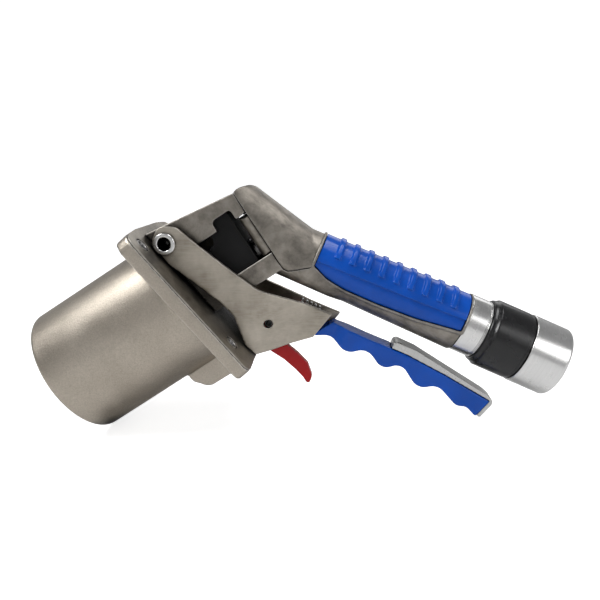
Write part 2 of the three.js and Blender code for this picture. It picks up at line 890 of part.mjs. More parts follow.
const latchOutline = [
  [74, -26, 3],
  [74.5, -17.5, 3],
  [83, -6.6, 2.4],
  [89.2, -7.4, 2.4],
  [84, -20, 3],
  [85, -30, 4],
  [95.5, -34.6, 6],
  [104, -37.2, 4],
  [112.5, -40.8, 4],
  [118.6, -47.5, 4],
  [119, -54.6, 1.6],
  [113.5, -50.8, 2],
  [107, -47.9, 6],
  [97, -44.6, 8],
  [84, -42.5, 8],
  [76, -33, 6],
];
add(
  handleGroup,
  "latch_trigger",
  cut(
    prism(latchOutline, -LATCH_HALF, LATCH_HALF, 0.7),
    crossRod(LATCH_PIN.x, LATCH_PIN.z, LATCH_PIN.radius + 0.35, -20, 20),
  ),
  PLASTIC.red,
);
add(handleGroup, "latch_spring", coil(91.5, 15, 2.8, 1.3, 5, -6.9), METAL.spring);

// ---------------------------------------------------------------- lever blade and its grip
const bladeOutline = [
  [120, -13],
  [157, -13],
  [165, -12.8, 8],
  [196, -14.6, 20],
  [226.2, -20.4],
  [225.6, -24.6],
  [229.6, -26.2],
  [233.5, -12.6, 2],
  [226, -10.2, 3],
  [196, -5.6, 20],
  [172, -1.8, 12],
  [157.4, -1.6, 3],
  [157.4, -10.2],
  [120, -10.2],
];
const gripOutline = [
  [105.6, -21.8],
  [118, -15.6, 9],
  [132, -22.4, 9],
  [143, -13.6, 9],
  [158, -22.8, 9],
  [167, -13.4, 9],
  [184, -25, 9],
  [195, -17.2, 9],
  [212, -25.2, 9],
  [218, -22.8, 5],
  [225.2, -26],
  [225.8, -12.6],
  [196, -9, 20],
  [168, -6.8, 20],
  [140, -7.4, 20],
  [116, -7],
];

// Where the blade is narrowed so the grip's cheeks close over it.
const bladeBuried = [
  [150, -40],
  [228, -40],
  [225.6, -12.7],
  [196, -9.1, 20],
  [168, -6.9, 20],
  [150, -7.1],
];

const leverSlim = LEVER.half - LEVER.cheek;

// The bright blade runs inside the grip, then shows above it from its shoulder to its tip.
function leverBlade() {
  const full = prism(bladeOutline, -LEVER.half, LEVER.half, 0.8);
  const cheeks = SIDES.flatMap((side) => {
    const [y0, y1] = [side * leverSlim, side * 40].sort((a, b) => a - b);
    return [block(110, 156.9, y0, y1, -40, 20), prism(bladeBuried, y0, y1)];
  });
  return cut(full, ...cheeks);
}

// The grip is narrow where it enters the yoke's channel and flares behind it.
function leverPlan() {
  const half = LEVER.half + LEVER.proud;
  return [
    [90, -LEVER.front],
    [LEVER.flareFrom, -LEVER.front, 6],
    [LEVER.flareTo, -half, 6],
    [240, -half],
    [240, half],
    [LEVER.flareTo, half, 6],
    [LEVER.flareFrom, LEVER.front, 6],
    [90, LEVER.front],
  ];
}

function leverGrip() {
  const half = LEVER.half + LEVER.proud;
  const slim = leverSlim + GAP;
  const body = common(prism(gripOutline, -half, half, 1.3), slab(leverPlan(), -60, 20));
  const bladeRoom = prism(
    [
      [100, -13.4],
      [157, -13.4],
      [165, -13.2, 8],
      [196, -15, 20],
      [240, -24.2],
      [240, 10],
      [157.1, 10],
      [157.1, -9.8],
      [100, -9.8],
    ],
    -slim,
    slim,
  );
  const bladeCap = prism(
    [
      [157.1, -7.4],
      [168, -7.2, 20],
      [196, -9.4, 20],
      [225.3, -13],
      [225.3, -40],
      [240, -40],
      [240, 10],
      [157.1, 10],
    ],
    -30,
    30,
  );
  return cut(body, bladeRoom, bladeCap);
}

add(handleGroup, "lever_blade", leverBlade(), METAL.bright);
add(handleGroup, "lever_grip", leverGrip(), PLASTIC.blue);

// ---------------------------------------------------------------- stem, slider and return spring
add(
  bellGroup,
  "stem_tube",
  turned(
    [
      [STEM.front, STEM.bore],
      [STEM.front, STEM.radius + 1],
      [STEM.front + 3, STEM.radius + 2],
      [STEM.front + 22, STEM.radius + 2],
      [STEM.front + 22, STEM.radius],
      [CAGE.rear - 0.6, STEM.radius],
      [CAGE.rear - 0.6, STEM.bore],
      [STEM.front, STEM.bore],
    ],
    0,
    32,
  ),
  METAL.turned,
);
add(
  bellGroup,
  "nose_seal",
  ring(STEM.front - 3.3, STEM.front - GAP, STEM.bore + 0.6, STEM.radius + 0.6, 0, 32),
  PLASTIC.rubber,
);

// The black drive slider straddles the stem; the yoke's drive pin sits in its slot.
function driveSlider() {
  const body = prism(
    [
      [SLIDER.front, SLIDER.low, 2],
      [SLIDER.rear, SLIDER.low, 2],
      [SLIDER.rear, SLIDER.high, 3],
      [SLIDER.rear - 16, SLIDER.high, 3],
      [SLIDER.rear - 18, 20, 3],
      [SLIDER.front, 16, 2],
    ],
    -SLIDER.half,
    SLIDER.half,
    1,
  );
  const pinAt = new THREE.Vector3(DRIVE_PIN.x, 0, DRIVE_PIN.z).applyMatrix4(HANDLE_TO_BELL);
  const reach = DRIVE_PIN.radius + 0.5;
  const slot = block(pinAt.x - reach, pinAt.x + reach, -30, 30, pinAt.z - reach + 0.1, 40);
  const springRoom = rod(SLIDER.rear - 4.4, SLIDER.rear + 5, STEM.radius + 3, 0, 28);
  return cut(body, rod(100, 170, STEM.radius + 0.4, 0, 28), slot, springRoom);
}

add(bellGroup, "drive_slider", driveSlider(), PLASTIC.black);
SIDES.forEach((side) => {
  const pull = rod(CAM.rear + GAP, SLIDER.front - GAP, PULL.radius, PULL.z, 10);
  const name = "pull_rod_" + (side < 0 ? "near" : "far");
  add(bellGroup, name, pull.translate(0, side * PULL.y, 0), METAL.turned);
});
add(
  bellGroup,
  "cam_sleeve",
  turned(
    [
      [CAM.front, STEM.radius + 0.5],
      [CAM.front, CAM.radius - 3],
      [CAM.front + 3, CAM.radius],
      [CAM.rear, CAM.radius],
      [CAM.rear, STEM.radius + 0.5],
      [CAM.front, STEM.radius + 0.5],
    ],
    0,
    36,
  ),
  METAL.turned,
);
add(
  bellGroup,
  "return_spring",
  coil(SLIDER.rear - 3.4, 3.6, STEM.radius + 1.9, 1.1, 2.5),
  METAL.spring,
);

// ---------------------------------------------------------------- valve
add(bellGroup, "valve_seat", ring(161.2, 163.4, 5, VALVE.radius - GAP, VALVE.z, 32), METAL.brass);
add(
  bellGroup,
  "valve_poppet",
  turned(
    [
      [150, 0],
      [150, 2],
      [162.2, 2],
      [163.8, 4.4],
      [163.8, 7.4],
      [166.2, 7.4],
      [166.2, 0],
    ],
    VALVE.z,
    28,
  ),
  METAL.brass,
);
add(bellGroup, "valve_spring", coil(169, 2.6, 5.4, 1.1, 2.5, VALVE.z), METAL.spring);

// ---------------------------------------------------------------- coupling claws
function aroundBell(geometry, i) {
  return geometry.rotateX((2 * Math.PI * i) / CLAW.count);
}

function clawCarrier() {
  const hub = ring(CLAW.pinX - 8, CLAW.pinX + 7, STEM.radius + GAP, 19.5, 0, 36);
  const cheeks = [0, 1, 2].flatMap((i) =>
    SIDES.map((side) => {
      const y = side * (CLAW.halfWide + GAP + 1.2);
      const cheek = prism(
        [
          [CLAW.pinX - 5, 17],
          [CLAW.pinX + 5, 17],
          [CLAW.pinX + 4, CLAW.pinR + 4, 3],
          [CLAW.pinX - 4, CLAW.pinR + 4, 3],
        ],
        y - 1.2,
        y + 1.2,
      );
      return aroundBell(cheek, i);
    }),
  );
  const holes = [0, 1, 2].map((i) =>
    aroundBell(crossRod(CLAW.pinX, CLAW.pinR, CLAW.pin + GAP, -12, 12, 14), i),
  );
  return cut(fuse(hub, ...cheeks), ...holes);
}

add(bellGroup, "claw_carrier", clawCarrier(), METAL.turned);
for (let i = 0; i < CLAW.count; i++) {
  const claw = cut(
    prism(
      [
        [37, 12.6, 1],
        [41, 12.6, 1],
        [42.5, 21.5, 2],
        [60, 22.4],
        [79, 22.4],
        [80, 19.2, 1],
        [86, 19.2, 1],
        [86, 26, 2],
        [72, 28.2, 4],
        [62, 28, 4],
        [39, 26.5, 3],
      ],
      -CLAW.halfWide,
      CLAW.halfWide,
      0,
      3,
    ),
    crossRod(CLAW.pinX, CLAW.pinR, CLAW.pin + 0.35, -12, 12, 14),
  );
  const pin = crossRod(CLAW.pinX, CLAW.pinR, CLAW.pin, -6.6, 6.6, 14);
  add(bellGroup, "claw_" + (i + 1), aroundBell(claw, i), METAL.bright);
  add(bellGroup, "claw_pin_" + (i + 1), aroundBell(pin, i), METAL.turned);
}

// ---------------------------------------------------------------- seat the part on its base centre
root.updateMatrixWorld(true);
const bounds = new THREE.Box3().setFromObject(root, true);
const centre = bounds.getCenter(new THREE.Vector3());
bellGroup.position.set(-centre.x, 0, -bounds.min.z);

export default root;
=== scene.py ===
"""Looks of the autogas filling nozzle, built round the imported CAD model.

Shapes are made in millimetres in one of three local frames and then placed in the row frame in
metres: the bell's (x along the bell axis from its rim), the flange's and the handle's (origin on
the lever pivot, x along the handle)."""
import json
import math

import bmesh
import bpy
from mathutils import Matrix, Vector


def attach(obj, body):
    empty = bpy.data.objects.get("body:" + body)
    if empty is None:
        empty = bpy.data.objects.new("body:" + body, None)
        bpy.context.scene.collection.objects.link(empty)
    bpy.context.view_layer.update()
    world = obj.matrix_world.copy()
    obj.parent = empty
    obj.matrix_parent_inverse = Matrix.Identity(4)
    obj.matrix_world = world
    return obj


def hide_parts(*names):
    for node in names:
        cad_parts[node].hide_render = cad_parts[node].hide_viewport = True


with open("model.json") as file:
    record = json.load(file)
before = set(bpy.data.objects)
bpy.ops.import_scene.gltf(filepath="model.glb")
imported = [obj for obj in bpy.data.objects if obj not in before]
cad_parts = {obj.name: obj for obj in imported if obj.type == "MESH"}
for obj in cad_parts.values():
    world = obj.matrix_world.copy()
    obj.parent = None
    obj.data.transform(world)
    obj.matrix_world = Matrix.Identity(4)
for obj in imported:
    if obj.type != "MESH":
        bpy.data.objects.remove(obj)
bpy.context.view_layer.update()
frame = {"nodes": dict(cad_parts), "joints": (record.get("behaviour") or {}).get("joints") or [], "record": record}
record = frame["record"]
SIDES = (-1, 1)

# ------------------------------------------------------------------ driving dimensions, millimetres
MM = 0.001  # in metres
WELD = 1e-4  # points closer than this are one point
GAP = 0.3  # play between neighbouring pieces
WIDE = 200  # further than any piece reaches

BELL = {"rim": 44, "rear": 43, "wall": 4, "length": 96.3, "overrun": 14}
FLANGE = {
    "tilt": 8.14,
    "thick": 7.4,
    "top": 53.5,
    "bottom": -57,
    "half": 46,
    "corner": 9.5,
    "droop": 2,
}
FLANGE_SEEN = {"thick": 8.7, "foot": -0.6, "foot_corner": 6.5}
BACK_PLATE = {"thick": 2, "inset": 0.3}
FLANGE_SCREW = {"y": 32.5, "top": 42, "bottom": -38, "shank": 2.2, "head": 4.3, "high": 2.8}
LUG = {"front": 66, "depth": 57.2, "y0": -9, "y1": 3, "sunk": 3, "overrun": 9, "toe": (8, 9)}
PLATE_FRONT = FLANGE["thick"] + GAP
PLATE_BACK = PLATE_FRONT + BACK_PLATE["thick"]

CAGE = {
    "half": 17,
    "wall": 4,
    "base": 4,
    "lid": 5,
    "floor": -16.4,
    "roof": 49,
    "slope": -0.15,
    "rear": 160.5,
    "sunk": 6,
    "inside": 17,
}
WINDOW = {"front": 113, "rear": 153, "low": -4, "high": 25, "notch": 139, "notch_high": 32}
COLLAR = {"front": 153.4, "half": 16.3, "low": -3.7, "high": 24.7, "corner": 10}
COLLAR_ROUNDS = {"foot": 2, "brow": 5, "nose": 6}

CORE = {"z": 25.2, "front": 17.6, "rear": 18.9, "from": 78, "to": 190.3}
DOME = {"half": 18.5, "round": 17.5, "ridge_x": 36, "ridge_z": 52.8, "fall": 13.4}
BELLY = {"low": 7.5, "round": 13}
NECK_BLEND = {"from": 93, "to": 116, "wide": 20.8}
NECK_TOE = {"long": 20, "high": 3.2}
COVER_SEAM = {"start": 12, "bend_x": 76, "bend": 14, "end": 22.5, "short": 1.1}
VALVE_ROOM = (157, 173, 10)
GRIP = {"thick": 2.6, "proud": 0.5, "from": 90, "to": 189.5, "crease": 29, "crease_deep": 0.7}
RIB = {"count": 9, "first": 101.2, "pitch": 9.75, "half": 1.8, "high": 1.35, "low": 33.5}
LIP = {"wide": 1.7, "proud": 1.1}
HOSE = {"z": 26.2, "ring": (190.6, 204.6), "sleeve": (204.9, 232.6), "end": (232.9, 258.4)}
HOSE_RADIUS = {"ring": 19.2, "sleeve": 22.5, "end": 22.9, "spigot": 11.5, "bore": 7}

YOKE = {"clear": 0.8, "thick": 3, "outer": 23.5, "waist": 20.6, "tail": 9.6}
YOKE_BEND = (68, 97)
YOKE_TIP = {-1: 113, 1: 118.9}
DRIVE_PIN = {"x": 29.7, "z": -1.3, "radius": 2.4, "half": 19.1}
LATCH_PIN = {"x": 78, "z": -22.6, "radius": 2.5, "half": 14.6, "wall": 0.6}
LATCH_HALF = 2.6
LATCH_COIL = {"x0": 91.5, "length": 15, "radius": 2.8, "wire": 1.3, "turns": 5, "z": -5}
PIVOT = {"inner": 12, "shank": 4.5, "bush": 5.6, "head": 6.9, "bore": 4.1}
WASHER = {"inner": 5.9, "outer": 7.1}
LEVER = {"half": 7.6, "cheek": 2.6, "proud": 1.2, "front": 6.2, "flare": (119.5, 127)}
LEVER_SLIM = LEVER["half"] - LEVER["cheek"]
STEM = {"radius": 8, "bore": 3.6, "front": 34, "clear": 0.8}
CAM = {"front": 78, "rear": 88, "radius": 18.2}
SLIDER = {"front": 116, "rear": 150, "low": -11.6, "high": 34, "half": 12.5}
PULL = {"y": 9.4, "z": 9, "hole": 2.3}

SCREW_SPOTS = [(y * FLANGE_SCREW["y"], FLANGE_SCREW[z]) for z in ("top", "bottom") for y in SIDES]


# ------------------------------------------------------------------ frames
def joint(name):
    return next(j for j in frame["joints"] if j["name"] == name)


def mount(name):
    return next(m for m in record["mounts"] if m["name"] == name)


def local_frame(origin, along):
    """Millimetres with x along the given direction and y across the tool, to metres in the row."""
    x = Vector(along).normalized()
    y = Vector((0, 1, 0))
    turn = Matrix((x, y, x.cross(y))).transposed().to_4x4()
    return Matrix.Translation(Vector(origin)) @ turn @ Matrix.Scale(MM, 4)


IN_BELL = local_frame(mount("coupler_mouth")["pos_m"], joint("slider_slide")["axis"])
IN_HANDLE = local_frame(joint("lever_hinge")["pos_m"], joint("hose_swivel_turn")["axis"])
FLANGE_TURN = Matrix.Rotation(-math.radians(FLANGE["tilt"]), 4, "Y")
FLANGE_TO_BELL = Matrix.Translation((BELL["length"], 0, 0)) @ FLANGE_TURN
IN_FLANGE = IN_BELL @ FLANGE_TO_BELL
HANDLE_TO_BELL = IN_BELL.inverted() @ IN_HANDLE
PIVOT_IN_BELL = HANDLE_TO_BELL.to_translation()
HANDLE_AXIS = (IN_HANDLE.to_3x3() @ Vector((1, 0, 0))).normalized()
BELL_AXIS = (IN_BELL.to_3x3() @ Vector((1, 0, 0))).normalized()


# ------------------------------------------------------------------ mesh tools
def new_solid(verts, faces):
    mesh = bpy.data.meshes.new("solid")
    mesh.from_pydata([tuple(v) for v in verts], [], faces)
    bm = bmesh.new()
    bm.from_mesh(mesh)
    bmesh.ops.remove_doubles(bm, verts=bm.verts, dist=WELD)
    loose = [e for e in bm.edges if not e.link_faces]
    bmesh.ops.delete(bm, geom=loose, context="EDGES")
    bmesh.ops.recalc_face_normals(bm, faces=bm.faces)
    bm.to_mesh(mesh)
    bm.free()
    solid = bpy.data.objects.new("solid", mesh)
    bpy.context.scene.collection.objects.link(solid)
    return solid


def fillet(corners, steps=8):
    """A closed outline through corners given as (x, y, fillet radius), its rounds as true arcs."""
    points = []
    for i, corner in enumerate(corners):
        here = Vector(corner[:2])
        radius = corner[2] if len(corner) > 2 else 0
        if not radius:
            points.append(here)
            continue
        before = Vector(corners[i - 1][:2]) - here
        after = Vector(corners[(i + 1) % len(corners)][:2]) - here
        most = 0.49 * min(before.length, after.length)
        before.normalize()
        after.normalize()
        half = before.angle(after) / 2
        back = min(radius / math.tan(half), most)
        centre = here + (before + after).normalized() * back / math.cos(half)
        first = here + before * back - centre
        last = here + after * back - centre
        sweep = math.pi - 2 * half
        count = max(2, round(sweep / (math.pi / 2) * steps))
        step = math.copysign(sweep / count, first.x * last.y - first.y * last.x)
        points += [centre + Matrix.Rotation(step * k, 2) @ first for k in range(count + 1)]
    return points


def extruded(corners, low, high, place, steps=8):
    """An outline carried from low to high; place(u, v, t) puts a point of it in space."""
    points = fillet(corners, steps)
    count = len(points)
    verts = [place(p.x, p.y, t) for t in (low, high) for p in points]
    sides = [(i, (i + 1) % count, count + (i + 1) % count, count + i) for i in range(count)]
    caps = [tuple(range(count)), tuple(range(count, 2 * count))]
    return new_solid(verts, sides + caps)


def prism(corners, y0, y1, steps=8):
    """A side-view outline (x, z) carried across the tool."""
    return extruded(corners, y0, y1, lambda u, v, t: (u, t, v), steps)


def plate(corners, x0, x1, steps=8):
    """An outline seen along x (y, z) carried from x0 to x1."""
    return extruded(corners, x0, x1, lambda u, v, t: (t, u, v), steps)


def slab(corners, z0, z1, steps=8):
    """A plan-view outline (x, y) carried from z0 to z1."""
    return extruded(corners, z0, z1, lambda u, v, t: (u, v, t), steps)


def block(x0, x1, y0, y1, z0, z1):
    return slab([(x0, y0), (x1, y0), (x1, y1), (x0, y1)], z0, z1)


def turned(profile, z=0.0, segments=96, steps=4):
    """A closed profile of (x, radius, fillet) turned about the line y = 0 at height z."""
    points = fillet(profile, steps)
    count = len(points)
    verts = []
    for k in range(segments):
        a = 2 * math.pi * k / segments
        verts += [(p.x, p.y * math.cos(a), z + p.y * math.sin(a)) for p in points]
    faces = []
    for k in range(segments):
        here, there = k * count, (k + 1) % segments * count
        for i in range(count):
            j = (i + 1) % count
            faces.append((here + i, here + j, there + j, there + i))
    return new_solid(verts, faces)


def rod(x0, x1, radius, z=0.0, y=0.0, segments=64):
    made = turned([(x0, 0), (x0, radius), (x1, radius), (x1, 0)], z, segments)
    made.data.transform(Matrix.Translation((0, y, 0)))
    return made


def turned_across(profile, x, z, segments=64):
    """A profile of (y, radius, fillet) turned about a cross axis through (x, z)."""
    made = turned(profile, 0.0, segments)
    made.data.transform(Matrix.Translation((x, 0, z)) @ Matrix.Rotation(math.pi / 2, 4, "Z"))
    return made


def cross_rod(x, z, radius, half, edge=0.0):
    return turned_across([(-half, 0), (-half, radius, edge), (half, radius, edge), (half, 0)], x, z)


def coil(x0, length, radius, wire, turns, z):
    """A coil spring along x, its wire a round tube along a helix."""
    around, per_turn = 12, 32
    steps = turns * per_turn
    verts = []
    for k in range(steps + 1):
        a = 2 * math.pi * turns * k / steps
        out = Vector((0, math.cos(a), math.sin(a)))
        centre = Vector((x0 + length * k / steps, 0, z)) + out * radius
        for i in range(around):
            b = 2 * math.pi * i / around
            verts.append(centre + (out * math.cos(b) + Vector((1, 0, 0)) * math.sin(b)) * wire / 2)
    faces = []
    for k in range(steps):
        here, there = k * around, (k + 1) * around
        for i in range(around):
            j = (i + 1) % around
            faces.append((here + i, here + j, there + j, there + i))
    faces += [tuple(range(around)), tuple(range(steps * around, (steps + 1) * around))]
    return new_solid(verts, faces)


def moved(solid, matrix):
    solid.data.transform(matrix)
    return solid


def settle(solid):
    """Applies the solid's modifiers."""
    graph = bpy.context.evaluated_depsgraph_get()
    made = bpy.data.meshes.new_from_object(solid.evaluated_get(graph))
    solid.modifiers.clear()
    solid.data = made
    return solid


def combine(base, operation, tools):
    for tool in tools:
        step = base.modifiers.new(operation, "BOOLEAN")
        step.object = tool
        step.operation = operation
        step.solver = "MANIFOLD"
    settle(base)
    for tool in tools:
        bpy.data.objects.remove(tool)
    return base


def fuse(base, *tools):
    return combine(base, "UNION", tools)


def cut(base, *tools):
    return combine(base, "DIFFERENCE", tools)


def common(base, *tools):
    return combine(base, "INTERSECT", tools)


def soften(solid, voxel, rounds):
    """Turns sharp modelled edges into the small even rounds of a cast or moulded piece."""
    skin = solid.modifiers.new("skin", "REMESH")
    skin.mode = "VOXEL"
    skin.voxel_size = voxel
    rub = solid.modifiers.new("rub", "SMOOTH")
    rub.factor = 0.5
    rub.iterations = rounds
    return settle(solid)


def show(solid, name, matrix, slot, nodes, look=None):
    """Places a finished solid in the row frame as the piece that stands for these CAD nodes."""
    body = next(b for b, members in record["behaviour"]["bodies"].items() if nodes[0] in members)
    solid.name = name
    solid.data.name = name
    solid.data.transform(matrix)
    if matrix.determinant() < 0:
        solid.data.flip_normals()
    solid.data.polygons.foreach_set("use_smooth", [True] * len(solid.data.polygons))
    solid.data.materials.clear()
    solid.data.materials.append(LOOKS[look or slot])
    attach(solid, body)
    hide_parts(*nodes)
    return solid


def show_turned(solid, *placing):
    """Shows a machined piece, its flat faces kept flat between small rounds."""
    even = show(solid, *placing).modifiers.new("even", "WEIGHTED_NORMAL")
    even.keep_sharp = False


# ------------------------------------------------------------------ surfaces
class Surface:
    """A principled material built from noise in object space, with sizes in metres."""

    def __init__(self, slot, metallic, specular=0.5):
        self.material = bpy.data.materials.new(slot)
        self.material.use_nodes = True
        self.tree = self.material.node_tree
        self.shader = self.tree.nodes["Principled BSDF"]
        self.shader.inputs["Metallic"].default_value = metallic
        self.shader.inputs["Specular IOR Level"].default_value = specular
        self.place = self.node("ShaderNodeTexCoord").outputs["Object"]

    def node(self, kind, inputs=(), **settings):
        made = self.tree.nodes.new(kind)
        for name, value in settings.items():
            setattr(made, name, value)
        for name, value in dict(inputs).items():
            self.feed(made.inputs[name], value)
        return made

    def feed(self, socket, value):
        if isinstance(value, bpy.types.NodeSocket):
            self.tree.links.new(value, socket)
        else:
            socket.default_value = value

    def noise(self, size, detail=2.0, rough=0.5, distort=0.0):
        inputs = {"Scale": 1 / size, "Detail": detail, "Roughness": rough, "Distortion": distort}
        made = self.node("ShaderNodeTexNoise", inputs)
        self.feed(made.inputs["Vector"], self.place)
        return made.outputs["Fac"]

    def lines(self, axis, size):
        """Fine turned or drawn lines that ring the given axis."""
        dot = self.node("ShaderNodeVectorMath", {0: self.place, 1: axis}, operation="DOT_PRODUCT")
        made = self.node("ShaderNodeTexNoise", noise_dimensions="1D")
        self.feed(made.inputs["W"], dot.outputs["Value"])
        self.feed(made.inputs["Scale"], 1 / size)
        self.feed(made.inputs["Detail"], 3.0)
        return made.outputs["Fac"]

    def stretched(self, axis_turn, sizes):
        """Noise drawn out along one direction, as brushing leaves."""
        scale = tuple(1 / s for s in sizes)
        inputs = {"Vector": self.place, "Rotation": axis_turn, "Scale": scale}
        put = self.node("ShaderNodeMapping", inputs)
        made = self.node("ShaderNodeTexNoise", {"Scale": 1.0, "Detail": 3.0})
        self.feed(made.inputs["Vector"], put.outputs["Vector"])
        return made.outputs["Fac"]

    def spots(self, size, low, high):
        """Small round pits, 0 on the surface and 1 in a pit."""
        made = self.node("ShaderNodeTexVoronoi", {"Scale": 1 / size, "Vector": self.place})
        return self.span(made.outputs["Distance"], high, low, 0.0, 1.0)

    def span(self, value, low, high, out_low, out_high):
        inputs = {"Value": value, "From Min": low, "From Max": high}
        made = self.node("ShaderNodeMapRange", inputs, clamp=True)
        self.feed(made.inputs["To Min"], out_low)
        self.feed(made.inputs["To Max"], out_high)
        return made.outputs["Result"]

    def mix(self, share, a, b):
        made = self.node("ShaderNodeMix", data_type="RGBA")
        self.feed(made.inputs["Factor"], share)
        self.feed(made.inputs["A"], made_colour(a))
        self.feed(made.inputs["B"], made_colour(b))
        return made.outputs["Result"]

    def add(self, a, b, share=1.0):
        made = self.node("ShaderNodeMath", {2: a}, operation="MULTIPLY_ADD")
        self.feed(made.inputs[0], b)
        self.feed(made.inputs[1], share)
        return made.outputs["Value"]

    def edges(self, low, high):
        """1 on outer edges, 0 elsewhere: the mask of rubbed edge wear, which on the castings also paints an edge
        highlight.
        """
        made = self.node("ShaderNodeNewGeometry")
        return self.span(made.outputs["Pointiness"], low, high, 0.0, 1.0)

    def painted_recess_shade(self, colour, reach=0.014, clear=0.72):
        """Painted shade: darkens deep recesses and the gaps between parts towards near black, where shade falls.
        """
        made = self.node("ShaderNodeAmbientOcclusion", {"Distance": reach}, samples=6)
        share = self.span(made.outputs["AO"], 0.2, clear, 0.0, 1.0)
        # The near-black colour mixed in here is the painted shade itself.
        return self.mix(share, (0.012, 0.011, 0.01), colour)

    def finish(self, colour, rough, height, depth):
        self.feed(self.shader.inputs["Base Color"], made_colour(colour))
        self.feed(self.shader.inputs["Roughness"], rough)
        made = self.node("ShaderNodeBump", {"Strength": 1.0, "Distance": depth, "Height": height})
        self.feed(self.shader.inputs["Normal"], made.outputs["Normal"])
        return self.material


def made_colour(value):
    return value if isinstance(value, bpy.types.NodeSocket) or len(value) == 4 else (*value, 1.0)


def blasted_cast():
    """Sand-blasted aluminium: an even fine grain, soft stains, bright rubbed edges that are partly wear and partly
    painted edge highlight, and painted shade in recesses.
    """
    s = Surface("blasted_cast", 1.0)
    cloud = s.noise(0.03, 4.0, 0.6)
    grain = s.noise(0.001, 3.0, 0.7)
    fine = s.noise(0.00045, 2.0, 0.6)
    base = s.mix(s.span(cloud, 0.3, 0.7, 0.0, 1.0), (0.46, 0.41, 0.345), (0.575, 0.52, 0.445))
    specked = s.mix(s.span(grain, 0.35, 0.7, 0.0, 0.5), base, (0.29, 0.255, 0.215))
    # Lightened edges: partly rubbed wear, partly a painted edge highlight.
    colour = s.mix(s.edges(0.52, 0.6), specked, (0.8, 0.79, 0.77))
    rough = s.span(cloud, 0.3, 0.7, 0.31, 0.38)
    # The recesses are darkened with painted shade.
    return s.finish(s.painted_recess_shade(colour), rough, s.add(grain, fine, 0.6), 0.00014)


def dark_cast(name, low, high, reach, clear):
    """Tumbled casting: darker, with broad smudges, small pits and a dull sheen; light edges that are partly wear
    and partly painted edge highlight, and painted shade in recesses.
    """
    s = Surface(name, 1.0)
    cloud = s.noise(0.022, 5.0, 0.65, 0.6)
    smear = s.noise(0.007, 3.0, 0.6)
    grain = s.noise(0.0009, 3.0, 0.7)
    base = s.mix(s.span(cloud, 0.32, 0.68, 0.0, 1.0), low, high)
    smudged = s.mix(s.span(smear, 0.4, 0.7, 0.0, 0.4), base, tuple(1.6 * c for c in high))
    # Lightened edges: partly rubbed wear, partly a painted edge highlight.
    colour = s.mix(s.edges(0.52, 0.59), smudged, (0.5, 0.49, 0.47))
    rough = s.span(smear, 0.3, 0.7, 0.36, 0.5)
    height = s.add(s.add(grain, smear, 0.8), s.spots(0.0035, 0.0, 0.16), -0.8)
    # The recesses are darkened with painted shade, as far as reach and clear allow.
    return s.finish(s.painted_recess_shade(colour, reach, clear), rough, height, 0.00015)


def yoke_cast():
    """Blasted, then rubbed by hand: satin, with faint smudges and scratches along the arm; its light edges are
    partly wear and partly painted edge highlight, and its recesses carry painted shade.
    """
    s = Surface("yoke_cast", 1.0)
    cloud = s.noise(0.018, 4.0, 0.6)
    grain = s.noise(0.0009, 3.0, 0.65)
    brushed = s.stretched((0, math.radians(-50), 0), (0.012, 0.001, 0.0006))
    base = s.mix(s.span(cloud, 0.32, 0.68, 0.0, 1.0), (0.31, 0.272, 0.222), (0.54, 0.492, 0.418))
    rubbed = s.mix(s.span(brushed, 0.35, 0.75, 0.0, 0.3), base, (0.6, 0.565, 0.51))
    # Lightened edges: partly rubbed wear, partly a painted edge highlight.
    colour = s.mix(s.edges(0.52, 0.6), rubbed, (0.8, 0.79, 0.77))
    rough = s.span(cloud, 0.3, 0.7, 0.33, 0.44)
    # The recesses are darkened with painted shade.
    return s.finish(s.painted_recess_shade(colour), rough, s.add(grain, brushed, 0.4), 0.00006)


def steel(slot, axis, colour, rough, line, depth, reach=0.02):
    """Machined steel with fine rings about its axis and a few smears; its recesses carry painted shade."""
    s = Surface(slot, 1.0)
    lines = s.lines(axis, line)
    smear = s.noise(0.008, 3.0, 0.6)
    darker = tuple(0.86 * c for c in colour)
    shade = s.mix(s.span(lines, 0.3, 0.7, 0.0, 0.7), colour, darker)
    polished = s.span(s.add(smear, lines, 0.5), 0.4, 1.0, rough[0], rough[1])
    # The recesses are darkened with painted shade, out to reach.
    return s.finish(s.painted_recess_shade(shade, reach), polished, lines, depth)


def plastic(slot, colour, rough, grain, depth, worn, specular=0.5):
    """Moulded plastic: a faint flow pattern, fine orange peel and slightly rubbed edges."""
    s = Surface(slot, 0.0, specular)
    flow = s.noise(0.02, 3.0, 0.5, 0.4)
    peel = s.noise(grain)
    deep = tuple(0.78 * c for c in colour)
    base = s.mix(s.span(flow, 0.3, 0.7, 0.0, 1.0), deep, colour)
    shade = s.mix(s.edges(0.53, 0.64), base, worn)
    return s.finish(shade, s.span(flow, 0.3, 0.7, rough[0], rough[1]), peel, depth)


